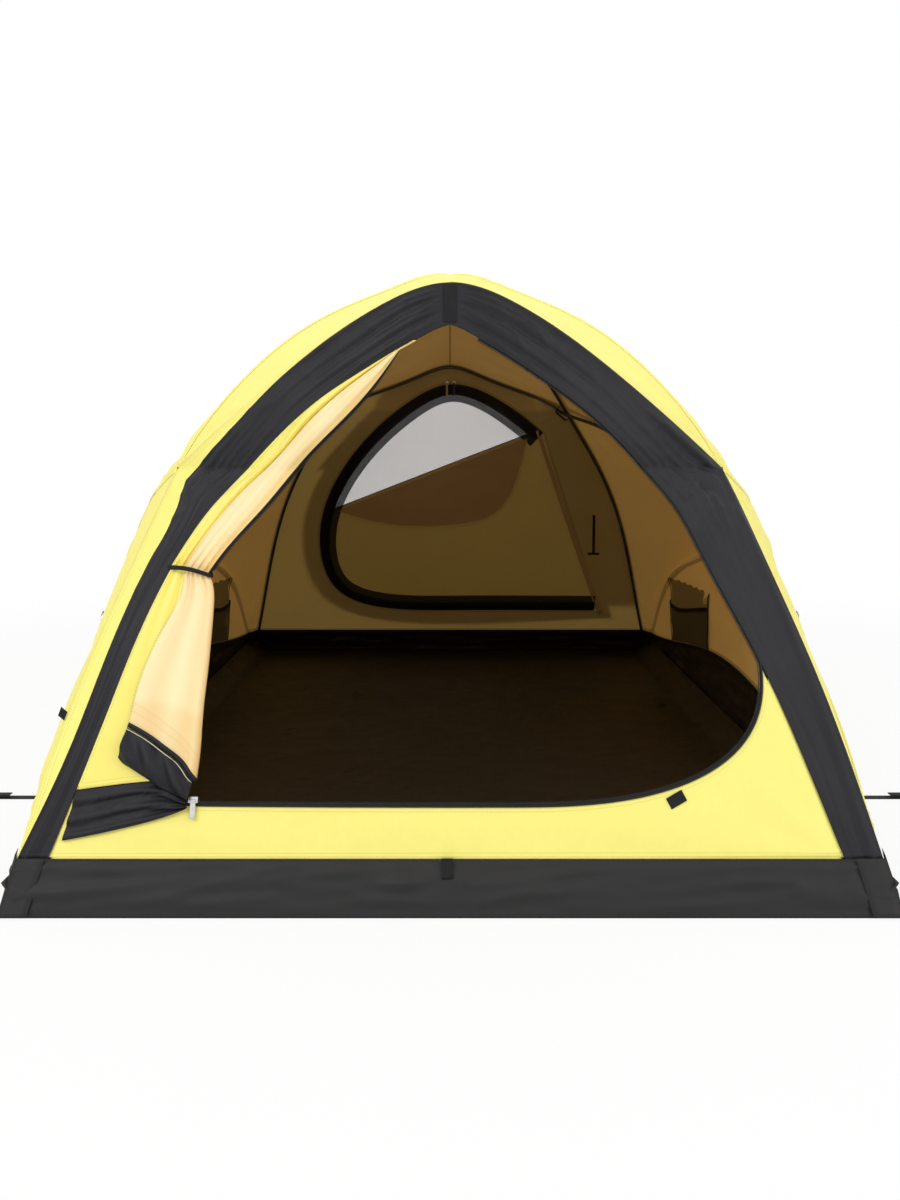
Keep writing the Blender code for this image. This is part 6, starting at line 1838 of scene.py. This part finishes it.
class TENT_OT_rear_door(Operator):
    """Sew the rear door: lower panel, net window, folded cover and zip band"""
    bl_idname = "tent.rear_door"
    bl_label = "Rear door"

    DOOR_GAP = 0.0026
    COVER_FOLD = 0.008
    COVER_LIFT = 0.0030
    COVER_LEAN = 0.12
    BAND_LIFT = 0.0050
    BAND_WIDTH = 0.029
    FACING_WIDTH = 0.024
    HINGE_REACH = 0.012

    def outline(self):
        """The doorway's rim above the window's fold, below it, and all but the hinge side."""
        ring = resample(REAR_DOOR, 480)
        top = int(np.argmax(ring[:, 1]))
        right = int(np.argmin(abs(ring[:top, 1] - WINDOW_FOLD_RIGHT)))
        low = top + int(np.argmin(ring[top:, 0]))
        left = top + int(np.argmin(abs(ring[top:low, 1] - WINDOW_FOLD_LEFT)))
        gap = np.where(np.arange(len(ring)) < right, 0.0002, 0.0008)[:, None]
        ring = inside(ring, REAR_DOOR_MIDDLE, gap)
        above = ring[right:left + 1][::-1]
        below = np.vstack([ring[left:], ring[1:right + 1]])
        return above, below, ring[right:]

    def lens(self, first, second, columns, rows):
        first, second = resample(first, columns), resample(second, columns)
        return np.stack([first * (1 - t) + second * t for t in even(rows + 1)])

    def join(self, piece):
        """Bake a piece's placement into its mesh."""
        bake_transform(piece)

    def execute(self, context):
        above, below, zipped = self.outline()
        fold = np.linspace(below[0], below[-1], 90)
        slope = unit(fold[-1] - fold[0])
        square = np.array([-slope[1], slope[0]])
        lower = REAR_WALL.lift(self.lens(below, fold, 120, 60))
        edge, _ = edge_fields(lower)
        lower[..., 1] += waves(lower, 0.18, 84) * 0.0016 * ease(edge / 0.05)
        self.join(cloth_piece("rear_door_panel", lower, [lemon_cloth(), rear_lining()],
            "rear_door_panel", body=None, outward=(0, 1, 0)))
        window = REAR_WALL.lift(self.lens(fold, above, 110, 46))
        self.join(cloth_piece("rear_door_net", window, window_net(), "rear_door_net",
            body=None, thickness=0.0004))
        self.cover(above, fold, square)
        self.zip_band(zipped, fold)
        repaint(cast_zinc(), "rear_zip_slider_right", "rear_zip_slider_left")
        repaint(dull_brass(), "rear_zip_pull_left")
        repaint(moulded_plastic(), "rear_zip_pull_right")
        repaint(black_webbing(), "rear_tie")
        return {"FINISHED"}

    def cover(self, above, fold, square):
        drawn = inside(above, REAR_DOOR_MIDDLE, REAR_ZIP_BAND + self.DOOR_GAP)
        drawn = drawn[(drawn - fold[0]) @ square > self.COVER_FOLD]
        folded = drawn - 2 * np.outer((drawn - fold[0]) @ square, square)
        crease = np.linspace(folded[0], folded[-1], 90)
        crease += np.outer(-self.COVER_FOLD - (crease - fold[0]) @ square, square)
        cover = self.lens(crease, folded, 110, 46)
        fall = np.maximum(-(cover - fold[0]) @ square - self.COVER_FOLD, 0)
        surface = REAR_WALL.lift(cover)
        surface[..., 1] -= self.COVER_LIFT + self.COVER_LEAN * fall
        edge, _ = edge_fields(surface)
        surface[..., 1] -= (waves(surface, 0.16, 85) + 0.8) * 0.0030 * ease(fall / 0.05)
        cloth_piece("rear_window_cover", surface, [shaded_cover_lining(), lemon_cloth()],
            "rear_window_cover", body="rear_door",
            side=0.0, outward=(0, -1, 0))
        rim = surface[-1] + np.array([0, -0.0012, 0])
        rod_piece("rear_cover_binding", [rod(rim[2:-2], 0.0016, 6)], cover_binding(),
            body="rear_door")

    def zip_band(self, zipped, fold):
        ring = resample(zipped, 240)[:-5]
        ring = np.vstack([ring[0] + unit(ring[0] - ring[1]) * 0.014, ring])
        rows = []
        for share in even(8):
            lift = CLOTH + self.BAND_LIFT * (0.55 + 0.45 * math.sin(math.pi * share))
            rows.append(REAR_WALL.lift(drawn_in(ring, self.BAND_WIDTH * share), -lift))
        grid = np.array(rows)
        grid[..., 1] += waves(grid, 0.05, 86) * 0.0005
        cloth_piece("rear_zip_band", grid, charcoal_cloth(), "rear_zip_band",
            body="rear_door", thickness=0.0009, side=0.0)
        # The facing is a real strip, and also painted shade beside the zip band.
        facing = np.array([REAR_WALL.lift(drawn_in(ring,
            self.BAND_WIDTH - 0.004 + self.FACING_WIDTH * share), -(CLOTH + 0.0022)) for share
            in even(6)])
        cloth_piece("rear_zip_facing", facing, zip_facing_shade(), None, body="rear_door",
            thickness=0.0004, side=0.0, declare=False)
        coil_line = REAR_WALL.lift(inside(ring, REAR_DOOR_MIDDLE, 0.0010), -(CLOTH + 0.0022))
        coil("rear_zip_coil", coil_line, "rear_door", 0.0016)
        outside = REAR_WALL.lift(inside(ring, REAR_DOOR_MIDDLE, 0.0004), 0.0012)
        rod_piece("rear_zip_outer_line", [rod(outside, 0.0022, 6)], zip_tape(), body="rear_door")
        hinge = np.array([HINGE_FOOT, zipped[0]])
        hinge[0] += unit(hinge[0] - hinge[1]) * self.HINGE_REACH
        hinge = REAR_WALL.lift(resample(hinge, 40), -(CLOTH + 0.0008))
        # A strip of the darkest shaded lining along the hinge, covering the gap there with painted
        # shade.
        strap_piece("rear_hinge_tape", hinge, (0.94, 0, 0.35), 0.020, shaded_cover_lining(),
            thickness=0.0006)
        seam_line = REAR_WALL.lift(np.array(fold), 0.0004)
        rod_piece("rear_window_seam", [rod(seam_line[1:-1], 0.0012, 6)], zip_tape(),
            body="rear_door")


def cabin_cloth():
    """The sewn panels as one surface, for finding where a piece meets them."""
    points, faces = [], []
    for grid, _ in panels.values():
        coarse = grid[::4, ::4]
        shift = len(points)
        points += [Vector(p) for p in coarse.reshape(-1, 3)]
        faces += [[shift + corner for corner in face] for face in grid_faces(*coarse.shape[:2])]
    return BVHTree.FromPolygons(points, faces)


class TENT_OT_pockets(Operator):
    """Hang the net pockets on the side walls"""
    bl_idname = "tent.pockets"
    bl_label = "Pockets"

    FRONT = 0.225
    BACK = 0.700
    TOP = 0.302
    MOUTH = (0.262, 0.224)
    SAG = 0.012
    DEPTH = 0.026
    SLEEVE = 0.0150

    def on_wall(self, tree, side, y, z, clear):
        """Points inside the wall and clear of the pole's sleeve."""
        leg = SIDE_REAR * (side, 1, 1)
        points = np.zeros(y.shape + (3,))
        for i, j in np.ndindex(*y.shape):
            found = tree.ray_cast(Vector((0, y[i, j], z[i, j])), Vector((side, 0, 0)))[0]
            near = np.linalg.norm(leg - np.array(found), axis=1).min()
            over = self.SLEEVE * math.exp(-(near / 0.020) ** 2)
            points[i, j] = (found.x - side * (CLOTH + clear[i, j] + over), y[i, j], z[i, j])
        return points

    def execute(self, context):
        tree = cabin_cloth()
        s = even(52)[None]
        t = even(24)[:, None]
        y = self.FRONT + (self.BACK - self.FRONT) * s + 0 * t
        foot = np.array([tub_top(at) for at in y[0]])[None] + 0.004
        crest = self.TOP - 0.010 * s + 0.0022 * np.sin(s * 40)
        mouth = self.MOUTH[0] + (self.MOUTH[1] - self.MOUTH[0]) * s
        mouth = mouth - self.SAG * np.sin(math.pi * s) ** 1.5
        belly = self.DEPTH * np.sin(math.pi * s) ** 0.6 * t ** 0.7
        for side, label in ((1, "right"), (-1, "left")):
            back = self.on_wall(tree, side, y, foot + (crest - foot) * t, 0.0016 + 0 * y)
            front = self.on_wall(tree, side, y, foot + (mouth - foot) * t, 0.0030 + belly)
            front[..., 0] += waves(front, 0.06, 88) * 0.0014
            for grid, name, node in ((back, "pocket_back_", None), (front, "pocket_", "pocket_")):
                cloth_piece(name + label, grid, pocket_net(), node and node + label,
                    thickness=0.0004,
                    outward=(-side, 0, 0))
            strap_piece("pocket_rim_" + label, resample(front[-1], 60), UP, 0.011, black_webbing())
            for column, name in ((0, "front"), (-1, "rear")):
                edge = resample(back[:, column], 40)
                edge[:, 0] -= side * 0.0026
                run = even(41)
                edge[:, 1] += np.sin(run * 9 + column) * 0.005
                strap_piece(f"pocket_end_{name}_{label}", edge, (0, 1, 0), 0.007, black_webbing(),
                    thickness=0.0012)
        return {"FINISHED"}


class TENT_OT_fittings(Operator):
    """Tie the poles where they cross, and fit the tabs, straps, rings, patches and pole cups"""
    bl_idname = "tent.fittings"
    bl_label = "Ties and fittings"

    def execute(self, context):
        repaint(black_webbing(), *packed("tie_"), "guy_tab_right", "guy_tab_left", "hem_tab",
            "leg_tab_left", "door_hook_patch", "crown_strip", "stake_strap_right",
            "stake_strap_left")
        repaint(cast_zinc(), "guy_ring_right", "guy_ring_left", "stake_ring_right",
            "stake_ring_left")
        repaint(moulded_plastic(), *packed("corner_cups_"))
        for side, label in SIDES:
            place = behind(FRONT_TIE * side, 0.020)
            drop = even(8)[:, None]
            line = place - UP * 0.030 * drop + np.array([0.004, -0.004, 0]) * np.sin(drop * 3)
            strap_piece("tie_end_" + label, line, (1, 0.3, 0), 0.006, black_webbing(),
                thickness=0.0010)
        return {"FINISHED"}


OPERATORS = (TENT_OT_camera, TENT_OT_stage, TENT_OT_roof, TENT_OT_front_bands, TENT_OT_front_sill,
    TENT_OT_tub, TENT_OT_poles, TENT_OT_door_flap, TENT_OT_front_zip, TENT_OT_rear_wall,
    TENT_OT_rear_door, TENT_OT_pockets, TENT_OT_fittings)


class TENT_PT_panel(Panel):
    """The tent's pieces, sizes and colours"""
    bl_idname = "TENT_PT_panel"
    bl_label = "Dome tent"
    bl_space_type = "VIEW_3D"
    bl_region_type = "UI"
    bl_category = "Tent"

    def draw(self, context):
        for operator in OPERATORS:
            self.layout.operator(operator.bl_idname)
        for group in (context.scene.tent_sizes, context.scene.tent_colours):
            column = self.layout.column()
            for label in group.bl_rna.properties.keys():
                if label not in ("rna_type", "name"):
                    column.prop(group, label)


CLASSES = (TentSizes, TentColours, *OPERATORS, TENT_PT_panel)


def register():
    for made in CLASSES:
        bpy.utils.register_class(made)
    bpy.types.Scene.tent_sizes = PointerProperty(type=TentSizes)
    bpy.types.Scene.tent_colours = PointerProperty(type=TentColours)


def unregister():
    del bpy.types.Scene.tent_colours
    del bpy.types.Scene.tent_sizes
    for made in reversed(CLASSES):
        bpy.utils.unregister_class(made)


def main():
    """Build the whole scene in order."""
    register()
    for operator in OPERATORS:
        group, name = operator.bl_idname.split(".")
        getattr(getattr(bpy.ops, group), name)()


if __name__ == "__main__":
    main()
